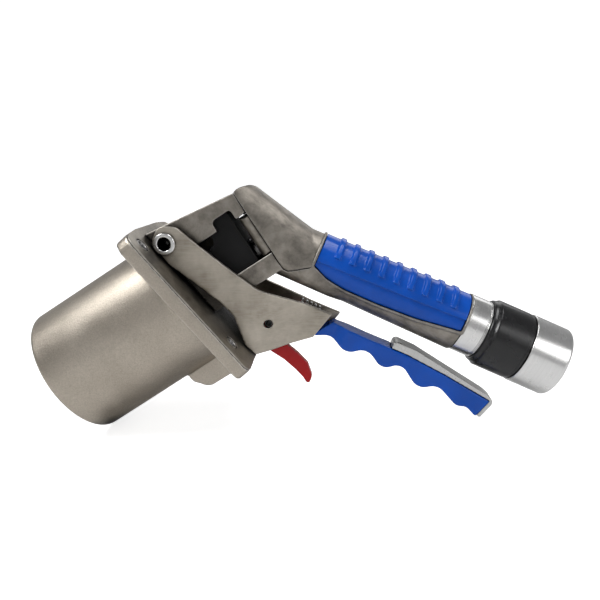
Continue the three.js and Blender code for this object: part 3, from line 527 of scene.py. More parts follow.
# The arguments of steel() and plastic() after the name.
STEELS = {
    "polished_steel": (HANDLE_AXIS, (0.86, 0.855, 0.845), (0.16, 0.3), 0.0006, 3e-6),
    "satin_steel": (HANDLE_AXIS, (0.66, 0.655, 0.64), (0.22, 0.36), 0.0006, 3e-6),
    "turned_steel": (BELL_AXIS, (0.56, 0.55, 0.54), (0.22, 0.38), 0.0005, 8e-6),
    "dark_steel": (BELL_AXIS, (0.16, 0.155, 0.15), (0.25, 0.4), 0.0005, 8e-6),
    # spring_steel's last value is the reach of its painted shade, kept short so the coil is not darkened.
    "spring_steel": (BELL_AXIS, (0.9, 0.9, 0.9), (0.15, 0.25), 0.0008, 2e-6, 0.001),
    "brass_valve": (BELL_AXIS, (0.72, 0.55, 0.27), (0.18, 0.32), 0.0006, 5e-6),
}
PLASTICS = {
    "blue_plastic": ((0.003, 0.092, 0.55), (0.16, 0.24), 0.0016, 2.5e-5, (0.02, 0.25, 0.85), 0.32),
    "red_plastic": ((0.5, 0.008, 0.01), (0.18, 0.28), 0.0014, 3e-5, (0.7, 0.07, 0.06), 0.28),
    "black_plastic": ((0.012, 0.012, 0.013), (0.2, 0.32), 0.0018, 3e-5, (0.07, 0.07, 0.075)),
    "slider_plastic": ((0.006, 0.006, 0.0065), (0.5, 0.65), 0.0009, 4e-5, (0.03, 0.03, 0.03), 0.25),
    "seal_rubber": ((0.014, 0.014, 0.014), (0.6, 0.75), 0.0006, 5e-5, (0.05, 0.05, 0.05)),
}
LOOKS = {
    "blasted_cast": blasted_cast(),
    # The last two values of dark_cast are the reach and the clearing depth of its painted recess shade.
    "dark_cast": dark_cast("dark_cast", (0.11, 0.099, 0.086), (0.33, 0.303, 0.266), 0.022, 0.78),
    # A copy of dark_cast with far wider and deeper painted shade, for the gasket plate, which lies in shade
    # between the flange and the yoke.
    "painted_shade_cast": dark_cast("painted_shade_cast", (0.2, 0.18, 0.157), (0.4, 0.367, 0.32), 0.05, 0.95),
    "yoke_cast": yoke_cast(),
}
LOOKS.update((name, steel(name, *values)) for name, values in STEELS.items())
LOOKS.update((name, plastic(name, *values)) for name, values in PLASTICS.items())


# ------------------------------------------------------------------ bell, flange and lug
def flange_outline(inset):
    half = FLANGE["half"] - inset
    top = FLANGE["top"] - inset
    bottom = FLANGE["bottom"] + inset
    foot = bottom + FLANGE_SEEN["foot"]
    return [
        (-half, foot, FLANGE_SEEN["foot_corner"]),
        (-half / 2, bottom),
        (half / 2, bottom),
        (half, foot, FLANGE_SEEN["foot_corner"]),
        (half, top - FLANGE["droop"], FLANGE["corner"]),
        (half / 2, top),
        (-half / 2, top),
        (-half, top - FLANGE["droop"], FLANGE["corner"]),
    ]


def past_flange(x):
    """Everything behind a plane parallel to the flange."""
    return moved(block(x, WIDE, -WIDE, WIDE, -WIDE, WIDE), FLANGE_TO_BELL)


def stem_room(x0, x1, clear=STEM["clear"]):
    return rod(x0, x1, STEM["radius"] + clear)


def pull_rooms(x0, x1):
    """Holes that the two pull rods run through."""
    return [rod(x0, x1, PULL["hole"], PULL["z"], side * PULL["y"], 24) for side in SIDES]


def screw_pockets():
    floor = PLATE_BACK - FLANGE_SCREW["high"] - 0.6
    radius = FLANGE_SCREW["head"] + 0.4
    return [rod(floor, PLATE_BACK + 2, radius, z, y, 32) for y, z in SCREW_SPOTS]


def bell_piece():
    wall, rim, rear_x = BELL["wall"], BELL["rim"], BELL["length"] + BELL["overrun"]
    skirt = turned(
        [
            (0, rim - wall, 1.6),
            (0, rim, 1.8),
            (rear_x, BELL["rear"]),
            (rear_x, BELL["rear"] - wall),
        ],
        segments=192,
    )
    skirt = cut(skirt, past_flange(FLANGE["thick"] / 2))
    flange = moved(plate(flange_outline(0), 0, FLANGE_SEEN["thick"], 12), FLANGE_TO_BELL)
    root, lug_rear = -rim + LUG["sunk"], BELL["length"] + LUG["overrun"]
    run, rise = LUG["toe"]
    lug = prism(
        [
            (LUG["front"], root),
            (lug_rear, root),
            (lug_rear, -LUG["depth"]),
            (LUG["front"] + run, -LUG["depth"], 7),
            (LUG["front"], -LUG["depth"] + rise, 4),
        ],
        LUG["y0"],
        LUG["y1"],
    )
    lug = cut(lug, past_flange(FLANGE["thick"] / 2))
    holes = [stem_room(60, 130), *pull_rooms(60, 130)]
    pockets = [moved(g, FLANGE_TO_BELL) for g in screw_pockets()]
    made = soften(cut(fuse(skirt, flange, lug), *holes, *pockets), 0.75, 5)
    return show(made, "bell_casting", IN_BELL, "blasted_cast", ["bell_shroud"])


def back_plate_piece():
    front = FLANGE_SEEN["thick"] + 0.05
    sheet = plate(flange_outline(BACK_PLATE["inset"]), front, PLATE_BACK, 12)
    to_flange = FLANGE_TO_BELL.inverted()
    holes = [moved(room, to_flange) for room in (stem_room(60, 140), *pull_rooms(60, 140))]
    made = soften(cut(sheet, *holes, *screw_pockets()), 0.4, 2)
    # The gasket plate takes the cast look with deep painted shade, as it lies in shade behind the yoke.
    return show(made, "gasket_plate", IN_FLANGE, "yoke_cast", ["back_plate"], "painted_shade_cast")


def cap_screw(seat, length, shank, head, high):
    body = turned(
        [
            (seat - length, 0),
            (seat - length, shank, 0.3),
            (seat, shank),
            (seat, head, 0.2),
            (seat + high, head, 0.6),
            (seat + high, 0),
        ],
        segments=48,
    )
    socket = rod(seat + high - 1.8, seat + high + 1, head * 0.55, segments=6)
    return cut(body, socket)


def screw_pieces():
    spec = FLANGE_SCREW
    for i, (y, z) in enumerate(SCREW_SPOTS, 1):
        seat = PLATE_BACK - spec["high"] - 0.3
        screw = cap_screw(seat, 5, spec["shank"], spec["head"], spec["high"])
        screw.data.transform(Matrix.Translation((0, y, z)))
        node = f"flange_screw_{i}"
        show_turned(screw, f"cap_screw_{i}", IN_FLANGE, "turned_steel", [node])


# ------------------------------------------------------------------ cage, dome and handle core
def roof_at(x):
    return CAGE["roof"] + CAGE["slope"] * (x - BELL["length"])


def cage():
    front, rear, floor = BELL["length"] - CAGE["sunk"], CAGE["rear"], CAGE["floor"]
    inside, past = BELL["length"] + CAGE["inside"], rear + 5
    shell = prism(
        [(front, floor), (rear, floor), (rear, roof_at(rear)), (front, roof_at(front))],
        -CAGE["half"],
        CAGE["half"],
    )
    inner = CAGE["half"] - CAGE["wall"]
    room = prism(
        [
            (inside, floor + CAGE["base"]),
            (past, floor + CAGE["base"]),
            (past, roof_at(rear) - CAGE["lid"]),
            (inside, roof_at(inside) - CAGE["lid"]),
        ],
        -inner,
        inner,
    )
    windows = prism(
        [
            (WINDOW["front"], WINDOW["low"], 2),
            (past, WINDOW["low"]),
            (past, WINDOW["high"] + 1),
            (WINDOW["rear"], WINDOW["high"]),
            (WINDOW["rear"], WINDOW["notch_high"], 2),
            (WINDOW["notch"], WINDOW["notch_high"], 3),
            (WINDOW["notch"], WINDOW["high"], 1),
            (WINDOW["front"], WINDOW["high"], 2),
        ],
        -CAGE["half"] - 2,
        CAGE["half"] + 2,
    )
    before_foot = moved(block(-WIDE, PLATE_BACK + GAP, -WIDE, WIDE, -WIDE, WIDE), FLANGE_TO_BELL)
    return cut(shell, before_foot, room, windows)


DOME_OUTLINE = [
    (20, 24),
    (27.5, 50.5, 12),
    (38, 53.2, 10),
    (64, 46, 20),
    (90, 42.6),
    (96, 34),
    (96, 4),
    (58, 4),
]


def core_rod():
    start = CORE["from"] - 6
    return turned(
        [(start, 0), (start, CORE["front"] - 0.4), (CORE["to"], CORE["rear"]), (CORE["to"], 0)],
        CORE["z"],
        128,
    )


def neck_section(x0, x1):
    """The neck's round-cornered section, open upwards."""
    half, low, bend = DOME["half"], BELLY["low"], BELLY["round"]
    return plate([(-half, low, bend), (half, low, bend), (half, 90), (-half, 90)], x0, x1, 16)


def neck_blend():
    """Fades the neck's corners into the round handle."""
    start, end, wide = NECK_BLEND["from"], NECK_BLEND["to"], NECK_BLEND["wide"]
    slim = core_radius(end) - 0.3
    cone = turned([(start, 0), (start, wide), (end, slim), (end, 0)], CORE["z"], 128)
    return common(cone, neck_section(start, end))


def neck_bulk():
    half, bend = DOME["half"], DOME["round"]
    crown = plate([(-half, -70), (half, -70), (half, 0, bend), (-half, 0, bend)], -40, 90, 16)
    lean = Matrix.Translation((DOME["ridge_x"], 0, DOME["ridge_z"]))
    crown = moved(crown, lean @ Matrix.Rotation(math.radians(DOME["fall"]), 4, "Y"))
    dome = common(prism(DOME_OUTLINE, -half - 5, half + 5, 16), crown, neck_section(0, 120))
    made = moved(fuse(dome, neck_blend(), core_rod()), HANDLE_TO_BELL)
    rear, floor = CAGE["rear"], CAGE["floor"]
    behind = fuse(
        block(rear, 300, -100, 100, -WIDE, WIDE),
        block(rear - NECK_TOE["long"], rear + 1, -100, 100, -WIDE, floor + NECK_TOE["high"]),
    )
    return common(made, behind)


def cover_region(grow):
    """The space of the dome cover: behind the cage, above the neck seam, up to the grip."""
    spec = COVER_SEAM
    end = GRIP["from"] - spec["short"] + grow
    seam = prism(
        [
            (0, spec["start"] - grow),
            (spec["bend_x"], spec["bend"] - grow),
            (end, spec["end"] - grow),
            (end, 80),
            (0, 80),
        ],
        -60,
        60,
    )
    behind = block(CAGE["rear"] + GAP - grow, 300, -60, 60, -WIDE, WIDE)
    return common(moved(seam, HANDLE_TO_BELL), behind)


def grip_border(drop):
    return [
        (GRIP["from"] - drop, 24 - drop),
        (100, 19.6 - drop, 12),
        (113, 17.5 - drop, 20),
        (134, 17.5 - drop, 30),
        (160, 19 - drop, 30),
        (GRIP["to"] + drop, 23.4 - drop),
        (GRIP["to"] + drop, 70),
        (GRIP["from"] - drop, 70),
    ]


def core_radius(x):
    share = (x - CORE["from"]) / (CORE["to"] - CORE["from"])
    return CORE["front"] + (CORE["rear"] - CORE["front"]) * share


def grip_shell(inward, outward, drop):
    x0, x1 = GRIP["from"] - 4, GRIP["to"] + 4
    r0, r1 = core_radius(x0), core_radius(x1)
    sleeve = turned(
        [(x0, r0 - inward), (x0, r0 + outward), (x1, r1 + outward), (x1, r1 - inward)],
        CORE["z"],
        128,
    )
    return common(sleeve, prism(grip_border(drop), -40, 40))


def inner_rooms():
    """The valve room and the bore through the handle."""
    bore = moved(rod(70, 300, HOSE_RADIUS["bore"], CORE["z"]), HANDLE_TO_BELL)
    return [rod(*VALVE_ROOM), bore]


def collar_block(grow, rear):
    half, low, high = COLLAR["half"] + grow, COLLAR["low"] - grow, COLLAR["high"] + grow
    corner = COLLAR["corner"]
    return plate(
        [(-half, low, corner), (half, low, corner), (half, high, corner), (-half, high, corner)],
        COLLAR["front"] - grow,
        rear,
        16,
    )


def border_lip():
    """The thin raised bead of metal that frames the upper grip."""
    outer = grip_shell(1, LIP["proud"], GAP + LIP["wide"])
    return moved(cut(outer, grip_shell(4, 6, GAP)), HANDLE_TO_BELL)


def main_casting_piece():
    made = fuse(cage(), cut(neck_bulk(), cover_region(GAP)), border_lip())
    seat = rod(CORE["to"] - 12, 300, HOSE_RADIUS["spigot"] + GAP, HOSE["z"])
    tools = inner_rooms() + [
        moved(grip_shell(GRIP["thick"] + GAP, 6, GAP), HANDLE_TO_BELL),
        collar_block(GAP, CAGE["rear"] + 3),
        moved(seat, HANDLE_TO_BELL),
        stem_room(90, CAGE["rear"]),
        cross_rod(PIVOT_IN_BELL.x, PIVOT_IN_BELL.z, PIVOT["shank"] + GAP, 40),
        *pull_rooms(90, 120),
    ]
    made = soften(cut(made, *tools), 0.52, 4)
    return show(made, "cage_and_handle", IN_BELL, "dark_cast", ["main_casting"])


def dome_cover_piece():
    grip_room = moved(grip_shell(GRIP["thick"] + GAP, 6, GAP), HANDLE_TO_BELL)
    made = cut(common(neck_bulk(), cover_region(0)), grip_room, *inner_rooms())
    made = soften(made, 0.6, 4)
    return show(made, "dome", IN_BELL, "dark_cast", ["dome_cover"])


def collar_piece():
    """The wall that fills the window's rear end, its front edges rounded in plan."""
    half, low, high = COLLAR["half"], COLLAR["low"], COLLAR["high"]
    foot, brow, bend = COLLAR_ROUNDS["foot"], COLLAR_ROUNDS["brow"], COLLAR_ROUNDS["nose"]
    front, rear = COLLAR["front"], CAGE["rear"]
    wall = plate(
        [(-half, low, foot), (half, low, foot), (half, high, brow), (-half, high, brow)],
        front,
        rear,
    )
    nose = slab([(front, -half, bend), (WIDE, -half), (WIDE, half), (front, half, bend)], -60, 60)
    made = cut(common(wall, nose), stem_room(140, 170, 0.4))
    made = soften(made, 0.5, 5)
    return show(made, "window_collar", IN_BELL, "dark_cast", ["collar"])


# ------------------------------------------------------------------ handle grip and hose end
def grip_rib(x):
    base, skin = core_radius(x) - 1, core_radius(x) + GRIP["proud"]
    half, crest = RIB["half"], skin + RIB["high"]
    rib = turned(
        [(x - half, base), (x - half, crest, 0.7), (x + half, crest, 0.7), (x + half, base)],
        CORE["z"],
        128,
    )
    low = RIB["low"] + 0.015 * (x - GRIP["from"])
    front, rear = x - half - 1, x + half + 1
    ends = prism([(front, low, 1.9), (rear, low, 1.9), (rear, 70), (front, 70)], -40, 40)
    return common(rib, ends)


def handle_grip_piece():
    shell = grip_shell(GRIP["thick"], GRIP["proud"], 0)
    crease = GRIP["crease"]
    below = prism([(80, 0), (200, 0), (200, crease + 2), (80, crease - 2)], -40, 40)
    flush = common(grip_shell(GRIP["crease_deep"], 4, 6), below)
    ribs = [grip_rib(RIB["first"] + i * RIB["pitch"]) for i in range(RIB["count"])]
    made = soften(fuse(cut(shell, flush), *ribs), 0.34, 2)
    return show(made, "upper_grip", IN_HANDLE, "blue_plastic", ["handle_grip"])


def hose_pieces():
    spigot = HOSE_RADIUS["spigot"]
    x0, x1 = HOSE["ring"]
    radius = HOSE_RADIUS["ring"]
    band = turned(
        [
            (x0, spigot + GAP),
            (x0, radius, 0.5),
            (x1 - 1.9, radius, 0.25),
            (x1 - 1.5, radius - 0.6, 0.2),
            (x1 - 0.9, radius - 0.6, 0.2),
            (x1 - 0.6, radius, 0.15),
            (x1, radius, 0.3),
            (x1, spigot + GAP),
        ],
        HOSE["z"],
        160,
    )
    show_turned(band, "ring_band", IN_HANDLE, "polished_steel", ["steel_ring"])

    x0, x1 = HOSE["sleeve"]
    radius = HOSE_RADIUS["sleeve"]
    sleeve = turned(
        [
            (x0, spigot + GAP),
            (x0, radius - 1.9, 1.2),
            (x0 + 2.2, radius - 1.2, 0.8),
            (x0 + 2.9, radius - 1.5, 0.4),
            (x0 + 4.1, radius, 1.2),
            (x1 - 2.4, radius, 0.4),
            (x1 - 1.9, radius - 0.45, 0.2),
            (x1, radius - 0.45, 0.5),
            (x1, spigot + GAP + 5, 0.5),
            (x1 - 12, spigot + GAP + 5),
            (x1 - 12, spigot + GAP),
        ],
        HOSE["z"],
        160,
        6,
    )
    show_turned(sleeve, "rubber_sleeve", IN_HANDLE, "black_plastic", ["swivel_sleeve"])

    x0, x1 = HOSE["end"]
    radius = HOSE_RADIUS["end"]
    seat = x0 + 0.42 * (x1 - x0)
    end = turned(
        [
            (x0 - 11, spigot + 0.5),
            (x0 - 11, spigot + 4.4, 0.4),
            (x0, spigot + 4.4),
            (x0, radius, 0.7),
            (x1, radius, 2.4),
            (x1, 13.8, 1),
            (seat, 13.8, 0.4),
            (seat, spigot + 0.5, 0.4),
        ],
        HOSE["z"],
        160,
        6,
    )
    show_turned(end, "hose_coupling", IN_HANDLE, "polished_steel", ["hose_end"])


# ------------------------------------------------------------------ pivot bolts, yoke and latch
def pivot_pieces():
    head, arm = YOKE["outer"] + 0.4, YOKE["outer"] - YOKE["thick"]
    wall = CAGE["half"]
    for side, label in zip(SIDES, ("near", "far")):
        bolt = turned_across(
            [
                (PIVOT["inner"], 0),
                (PIVOT["inner"], PIVOT["shank"], 0.4),
                (wall + GAP, PIVOT["shank"]),
                (wall + GAP, PIVOT["bush"]),
                (head, PIVOT["bush"]),
                (head, PIVOT["head"], 0.3),
                (head + 2, PIVOT["head"], 0.9),
                (head + 2, PIVOT["bore"], 0.7),
                (wall - 1, PIVOT["bore"]),
                (wall - 1, 0),
            ],
            0,
            0,
            72,
        )
        washer = turned_across(
            [
                (wall + GAP, WASHER["inner"], 0.2),
                (wall + GAP, WASHER["outer"], 0.3),
                (arm - GAP, WASHER["outer"], 0.3),
                (arm - GAP, WASHER["inner"], 0.2),
            ],
            0,
            0,
            72,
        )
        turn = Matrix.Translation(PIVOT_IN_BELL)
        if side < 0:
            turn = turn @ Matrix.Rotation(math.pi, 4, "Z")
        placed = [("hollow_bolt_", bolt, "polished_steel", "pivot_bolt_")]
        placed.append(("thrust_washer_", washer, "turned_steel", "pivot_washer_"))
        for name, solid, slot, node in placed:
            show_turned(solid, name + label, IN_BELL @ turn, slot, [node + label])


def yoke_side(tip):
    return [
        (-8.2, -1, 6),
        (-8.0, 9, 8),
        (3, 12.2, 6),
        (20, 7),
        (42, 1.2, 30),
        (64, -4.2, 20),
        (92, -2.4, 30),
        (tip, -2),
        (tip - 5, -20.6),
        (85, -40, 6),
        (76, -46.5, 6),
        (70, -41, 8),
        (56.5, -25.8, 10),
        (46, -21, 20),
        (26, -15.6),
        (4, -10.3, 6),
        (-6, -6.6, 5),
    ]


def yoke_plan(side):
    outer, waist, tail, thick = YOKE["outer"], YOKE["waist"], YOKE["tail"], YOKE["thick"]
    start, end = YOKE_BEND
    return [
        (-20, side * outer),
        (12, side * outer),
        (start, side * waist, 45),
        (end, side * tail, 16),
        (170, side * tail),
        (170, side * (tail - thick)),
        (end - 1, side * (tail - thick), 16),
        (start - 1, side * (waist - thick), 45),
        (12, side * (outer - thick)),
        (-20, side * (outer - thick)),
    ]


def yoke_piece():
    arms = []
    for side in SIDES:
        cheek = prism(yoke_side(YOKE_TIP[side]), -40, 40, 12)
        arms.append(common(cheek, slab(yoke_plan(side), -80, 40, 16)))
    inner = YOKE["tail"] - YOKE["thick"] + 1
    web = prism(
        [(99, -26.5), (104.2, -21.6), (109.8, -15), (108.4, -13.6), (102.8, -20), (97.6, -24.8)],
        -inner,
        inner,
    )
    relief = block(-100, PLATE_BACK + YOKE["clear"], -60, 60, -100, 100)
    tools = [
        cross_rod(0, 0, WASHER["inner"], 40),
        cross_rod(LATCH_PIN["x"], LATCH_PIN["z"], LATCH_PIN["radius"] + GAP, 40),
        cross_rod(DRIVE_PIN["x"], DRIVE_PIN["z"], DRIVE_PIN["radius"] + GAP, DRIVE_PIN["half"] + 1),
        moved(relief, HANDLE_TO_BELL.inverted() @ FLANGE_TO_BELL),
    ]
    made = soften(cut(fuse(*arms, web), *tools), 0.5, 4)
    return show(made, "yoke_lever", IN_HANDLE, "yoke_cast", ["yoke"])


def pin_pieces():
    """The drive pin is solid; the latch pin is a hollow spring pin."""
    spec = DRIVE_PIN
    pin = cross_rod(spec["x"], spec["z"], spec["radius"], spec["half"], 0.5)
    show_turned(pin, "turned_drive_pin", IN_HANDLE, "turned_steel", ["drive_pin"])
    spec = LATCH_PIN
    half, outer, inner = spec["half"], spec["radius"], spec["radius"] - spec["wall"]
    profile = [(-half, inner, 0.1), (-half, outer, 0.3), (half, outer, 0.3), (half, inner, 0.1)]
    pin = turned_across(profile, spec["x"], spec["z"])
    show_turned(pin, "rolled_latch_pin", IN_HANDLE, "turned_steel", ["latch_pin"], "dark_steel")


LATCH_OUTLINE = [
    (74, -26, 3),
    (74.5, -17.5, 3),
    (83, -6.6, 2.4),
    (89.2, -7.4, 2.4),
    (84, -20, 3),
    (85, -30, 4),
    (95.5, -34.6, 6),
    (104, -37.2, 4),
    (112.5, -40.8, 4),
    (118.6, -47.5, 4),
    (119, -54.6, 1.6),
    (113.5, -50.8, 2),
    (107, -47.9, 6),
    (97, -44.6, 8),
    (84, -42.5, 8),
    (76, -33, 6),
]


def latch_pieces():
    hole = cross_rod(LATCH_PIN["x"], LATCH_PIN["z"], LATCH_PIN["radius"] + 0.35, 20)
    body = cut(prism(LATCH_OUTLINE, -LATCH_HALF, LATCH_HALF), hole)
    made = soften(body, 0.32, 5)
    show(made, "latch_lever", IN_HANDLE, "red_plastic", ["latch_trigger"])
    show(coil(**LATCH_COIL), "latch_coil", IN_HANDLE, "spring_steel", ["latch_spring"])


# ------------------------------------------------------------------ lever blade and grip
BLADE_OUTLINE = [
    (120, -13),
    (157, -13),
    (165, -12.8, 8),
    (196, -14.6, 20),
    (226.2, -20.4),
    (224, -25),
    (229.6, -26.2, 1),
    (233.5, -12.6, 3),
    (226, -10.2, 3),
    (196, -5.6, 20),
    (172, -1.8, 12),
    (157.4, -1.6, 3),
    (157.4, -10.2),
    (120, -10.2),
]
GRIP_OUTLINE = [
    (105.6, -21.8, 1),
    (118, -15.6, 9),
    (132, -22.4, 9),
    (143, -13.6, 9),
    (158, -22.8, 9),
    (167, -13.4, 9),
    (184, -25, 9),
    (195, -17.2, 9),
    (212, -25.2, 9),
    (218, -22.8, 5),
    (226.3, -26.4, 1),
    (230.1, -13.3, 0.6),
    (196, -9, 20),
    (168, -6.8, 20),
    (140, -7.4, 20),
    (116, -7, 1),
]
BLADE_BURIED = [
    (150, -40),
    (222.8, -40),
    (230.4, -13.2),
    (196, -9.1, 20),
    (168, -6.9, 20),
    (150, -7.1),
]


def lever_blade_piece():
    full = prism(BLADE_OUTLINE, -LEVER["half"], LEVER["half"])
    cheeks = []
    for side in SIDES:
        y0, y1 = sorted((side * LEVER_SLIM, side * 40))
        cheeks.append(block(110, 156.9, y0, y1, -40, 20))
        cheeks.append(prism(BLADE_BURIED, y0, y1))
    made = soften(cut(full, *cheeks), 0.4, 4)
    return show(made, "blade", IN_HANDLE, "polished_steel", ["lever_blade"], "satin_steel")


def lever_plan():
    """The grip is narrow where it enters the yoke's channel and flares behind it."""
    half, front = LEVER["half"] + LEVER["proud"], LEVER["front"]
    start, end = LEVER["flare"]
    return [
        (90, -front),
        (start, -front, 6),
        (end, -half, 6),
        (240, -half),
        (240, half),
        (end, half, 6),
        (start, front, 6),
        (90, front),
    ]


def lever_grip_piece():
    half = LEVER["half"] + LEVER["proud"]
    slim = LEVER_SLIM + GAP
    body = common(prism(GRIP_OUTLINE, -half, half), slab(lever_plan(), -60, 20))
    blade_room = prism(
        [
            (100, -13.4),
            (157, -13.4),
            (165, -13.2, 8),
            (196, -15, 20),
            (240, -24.2),
            (240, 10),
            (157.1, 10),
            (157.1, -9.8),
            (100, -9.8),
        ],
        -slim,
        slim,
    )
    cap = prism(
        [
            (157.1, -7.4),
            (168, -7.2, 20),
            (196, -9.4, 20),
            (230.1, -13.5),
            (222.5, -40),
            (240, -40),
            (240, 10),
            (157.1, 10),
        ],
        -30,
        30,
    )
    made = soften(cut(body, blade_room, cap), 0.42, 8)
    return show(made, "finger_grip", IN_HANDLE, "blue_plastic", ["lever_grip"])


# ------------------------------------------------------------------ slider and stem
def slider_piece():
    spec = SLIDER
    body = prism(
        [
            (spec["front"], spec["low"], 2),
            (spec["rear"], spec["low"], 2),
            (spec["rear"], spec["high"], 3),
            (spec["rear"] - 16, spec["high"], 3),
            (spec["rear"] - 18, 20, 3),
            (spec["front"], 16, 2),
        ],
        -spec["half"],
        spec["half"],
    )
    pin = HANDLE_TO_BELL @ Vector((DRIVE_PIN["x"], 0, DRIVE_PIN["z"]))
    reach = DRIVE_PIN["radius"] + 0.5
    slot = block(pin.x - reach, pin.x + reach, -30, 30, pin.z - reach + 0.1, 40)
    spring_room = rod(spec["rear"] - 4.4, spec["rear"] + 5, STEM["radius"] + 3)
    made = soften(cut(body, stem_room(100, 170, 0.4), slot, spring_room), 0.5, 4)
    return show(made, "slide_block", IN_BELL, "slider_plastic", ["drive_slider"])


def stem_pieces():
    spec = STEM
    step = spec["front"] + 22
    rear = CAGE["rear"] - 0.6
    tube = turned(
        [
            (spec["front"], spec["bore"], 0.4),
            (spec["front"], spec["radius"] + 1.4, 0.8),
            (spec["front"] + 3, spec["radius"] + 2, 1),
            (step, spec["radius"] + 2, 0.5),
            (step, spec["radius"]),
            (rear, spec["radius"]),
            (rear, spec["bore"]),
        ]
    )
    show_turned(tube, "filler_stem", IN_BELL, "turned_steel", ["stem_tube"])
    seal_front, seal_rear = spec["front"] - 3.3, spec["front"] - GAP
    inner, outer, edge = spec["bore"] + 0.6, spec["radius"] + 0.6, 1.2
    seal = turned(
        [
            (seal_front, inner, edge),
            (seal_front, outer, edge),
            (seal_rear, outer, edge),
            (seal_rear, inner, edge),
        ]
    )
    show(seal, "nose_ring", IN_BELL, "seal_rubber", ["nose_seal"])
    cam = turned(
        [
            (CAM["front"], spec["radius"] + 0.5),
            (CAM["front"], CAM["radius"] - 3, 0.4),
            (CAM["front"] + 3, CAM["radius"], 0.6),
            (CAM["rear"], CAM["radius"], 0.4),
            (CAM["rear"], spec["radius"] + 0.5),
        ]
    )
    show_turned(cam, "cam_ring", IN_BELL, "turned_steel", ["cam_sleeve"])


# ------------------------------------------------------------------ CAD nodes that stay
def keep_cad_nodes():
    """Nodes whose CAD shape is right take the surface of their material slot."""
    kept = {
        "turned_steel": [
            "pull_rod_near",
            "pull_rod_far",
            "claw_carrier",
            *(f"claw_pin_{i}" for i in (1, 2, 3)),
            "swivel_spigot",
            *(f"body_screw_{i}" for i in (1, 2, 3, 4)),
        ],
        "polished_steel": ["claw_1", "claw_2", "claw_3"],
        # The return spring takes dark steel as painted shade, keeping it dark in the shade inside the cage.
        "dark_steel": ["return_spring"],
        "spring_steel": ["valve_spring"],
        "brass_valve": ["valve_seat", "valve_poppet"],
        "seal_rubber": ["swivel_o_ring", "hose_gasket"],
    }
    for look, nodes in kept.items():
        for node in nodes:
            materials = frame["nodes"][node].data.materials
            materials.clear()
            materials.append(LOOKS[look])


# ------------------------------------------------------------------ stage, light and camera
STAGE = {"floor": 1.3, "bend": 0.6, "high": 2.4, "segments": 96, "arc": 24, "glow": 0.75}
CAMERA = {"at": (0.0297, -0.4088, 0.1772), "look": (0.00105, 0, 0.08699), "lens": 38.41, "film": 36}
LIGHT_AIM = (0, 0, 0.08)
LIGHTS = {  # place in metres, size in metres, watts
    "key": ((-0.84, -0.25, 1.0), (0.55, 0.4), 9.5),
    "front": ((-0.5, -1.0, 0.5), (0.5, 0.4), 0.4),
    "fill": ((0.95, -0.7, 0.5), (0.7, 0.5), 2.4),
    "top": ((0.35, -0.05, 1.12), (0.8, 0.3), 4),
    "back": ((0.3, 0.9, 0.6), (0.8, 0.4), 1.2),
}
BACKDROP = {"colour": (0.95, 0.97, 1.0, 1), "strength": 0.15}


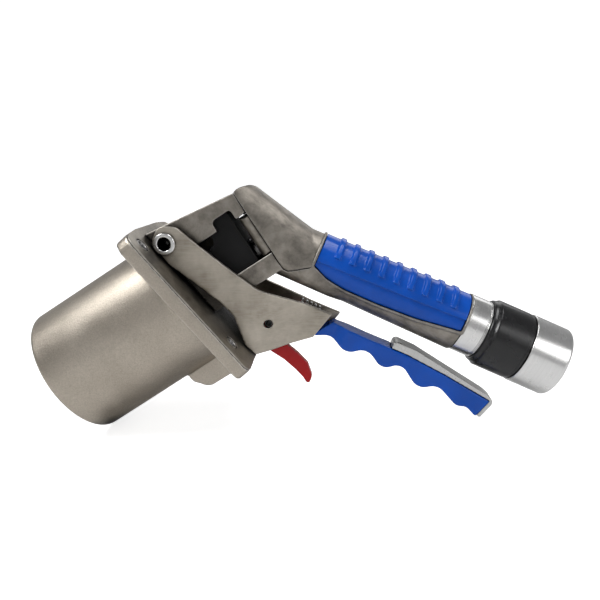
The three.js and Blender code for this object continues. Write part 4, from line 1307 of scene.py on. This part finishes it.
def make_stage():
    """A round pale floor that curves up into a wall all the way round."""
    floor, bend, arc = STAGE["floor"], STAGE["bend"], STAGE["arc"]
    angles = [math.pi / 2 * k / arc for k in range(arc + 1)]
    curve = [(floor + bend * math.sin(a), bend * (1 - math.cos(a))) for a in angles]
    flat = [(floor * k / 6, 0.0) for k in range(1, 6)]
    profile = flat + curve + [(floor + bend, STAGE["high"])]
    count = STAGE["segments"]
    verts = [(0.0, 0.0, 0.0)]
    for r, z in profile:
        for k in range(count):
            a = 2 * math.pi * k / count
            verts.append((r * math.cos(a), r * math.sin(a), z))
    faces = [(0, 1 + k, 1 + (k + 1) % count) for k in range(count)]
    for row in range(len(profile) - 1):
        for k in range(count):
            a, b = 1 + row * count, 1 + (row + 1) * count
            faces.append((a + k, b + k, b + (k + 1) % count, a + (k + 1) % count))
    mesh = bpy.data.meshes.new("studio_sweep")
    mesh.from_pydata(verts, [], faces)
    mesh.polygons.foreach_set("use_smooth", [True] * len(mesh.polygons))
    sweep = bpy.data.objects.new("studio_sweep", mesh)
    bpy.context.scene.collection.objects.link(sweep)
    paper = Surface("studio_paper", 0.0)
    seen = paper.node("ShaderNodeLightPath").outputs["Is Camera Ray"]
    paper.shader.inputs["Emission Color"].default_value = (1, 1, 1, 1)
    paper.feed(paper.shader.inputs["Emission Strength"], paper.span(seen, 0, 1, 0, STAGE["glow"]))
    fibre = paper.noise(0.002, 2.0)
    shade = paper.mix(fibre, (0.78, 0.78, 0.78), (0.8, 0.8, 0.8))
    mesh.materials.append(paper.finish(shade, 0.9, fibre, 1e-5))


def area_light(name, at, size, power):
    data = bpy.data.lights.new(name, "AREA")
    data.shape = "RECTANGLE"
    data.size, data.size_y = size
    data.energy = power
    light = bpy.data.objects.new(name, data)
    light.location = at
    light.rotation_euler = (Vector(LIGHT_AIM) - Vector(at)).to_track_quat("-Z", "Y").to_euler()
    bpy.context.scene.collection.objects.link(light)


def make_lights():
    for name, spec in LIGHTS.items():
        area_light(name, *spec)
    world = bpy.data.worlds.new("studio")
    world.use_nodes = True
    backdrop = world.node_tree.nodes["Background"]
    backdrop.inputs["Color"].default_value = BACKDROP["colour"]
    backdrop.inputs["Strength"].default_value = BACKDROP["strength"]
    bpy.context.scene.world = world


def make_camera():
    data = bpy.data.cameras.new("camera")
    data.lens = CAMERA["lens"]
    data.sensor_width = CAMERA["film"]
    camera = bpy.data.objects.new("camera", data)
    camera.location = CAMERA["at"]
    aim = Vector(CAMERA["look"]) - Vector(CAMERA["at"])
    camera.rotation_euler = aim.to_track_quat("-Z", "Y").to_euler()
    bpy.context.scene.collection.objects.link(camera)
    bpy.context.scene.camera = camera


make_camera()
make_stage()
make_lights()
bpy.context.scene.view_settings.view_transform = "Standard"

bell_piece()
back_plate_piece()
screw_pieces()
main_casting_piece()
dome_cover_piece()
collar_piece()
handle_grip_piece()
hose_pieces()
pivot_pieces()
yoke_piece()
pin_pieces()
latch_pieces()
lever_blade_piece()
lever_grip_piece()
slider_piece()
stem_pieces()
keep_cad_nodes()
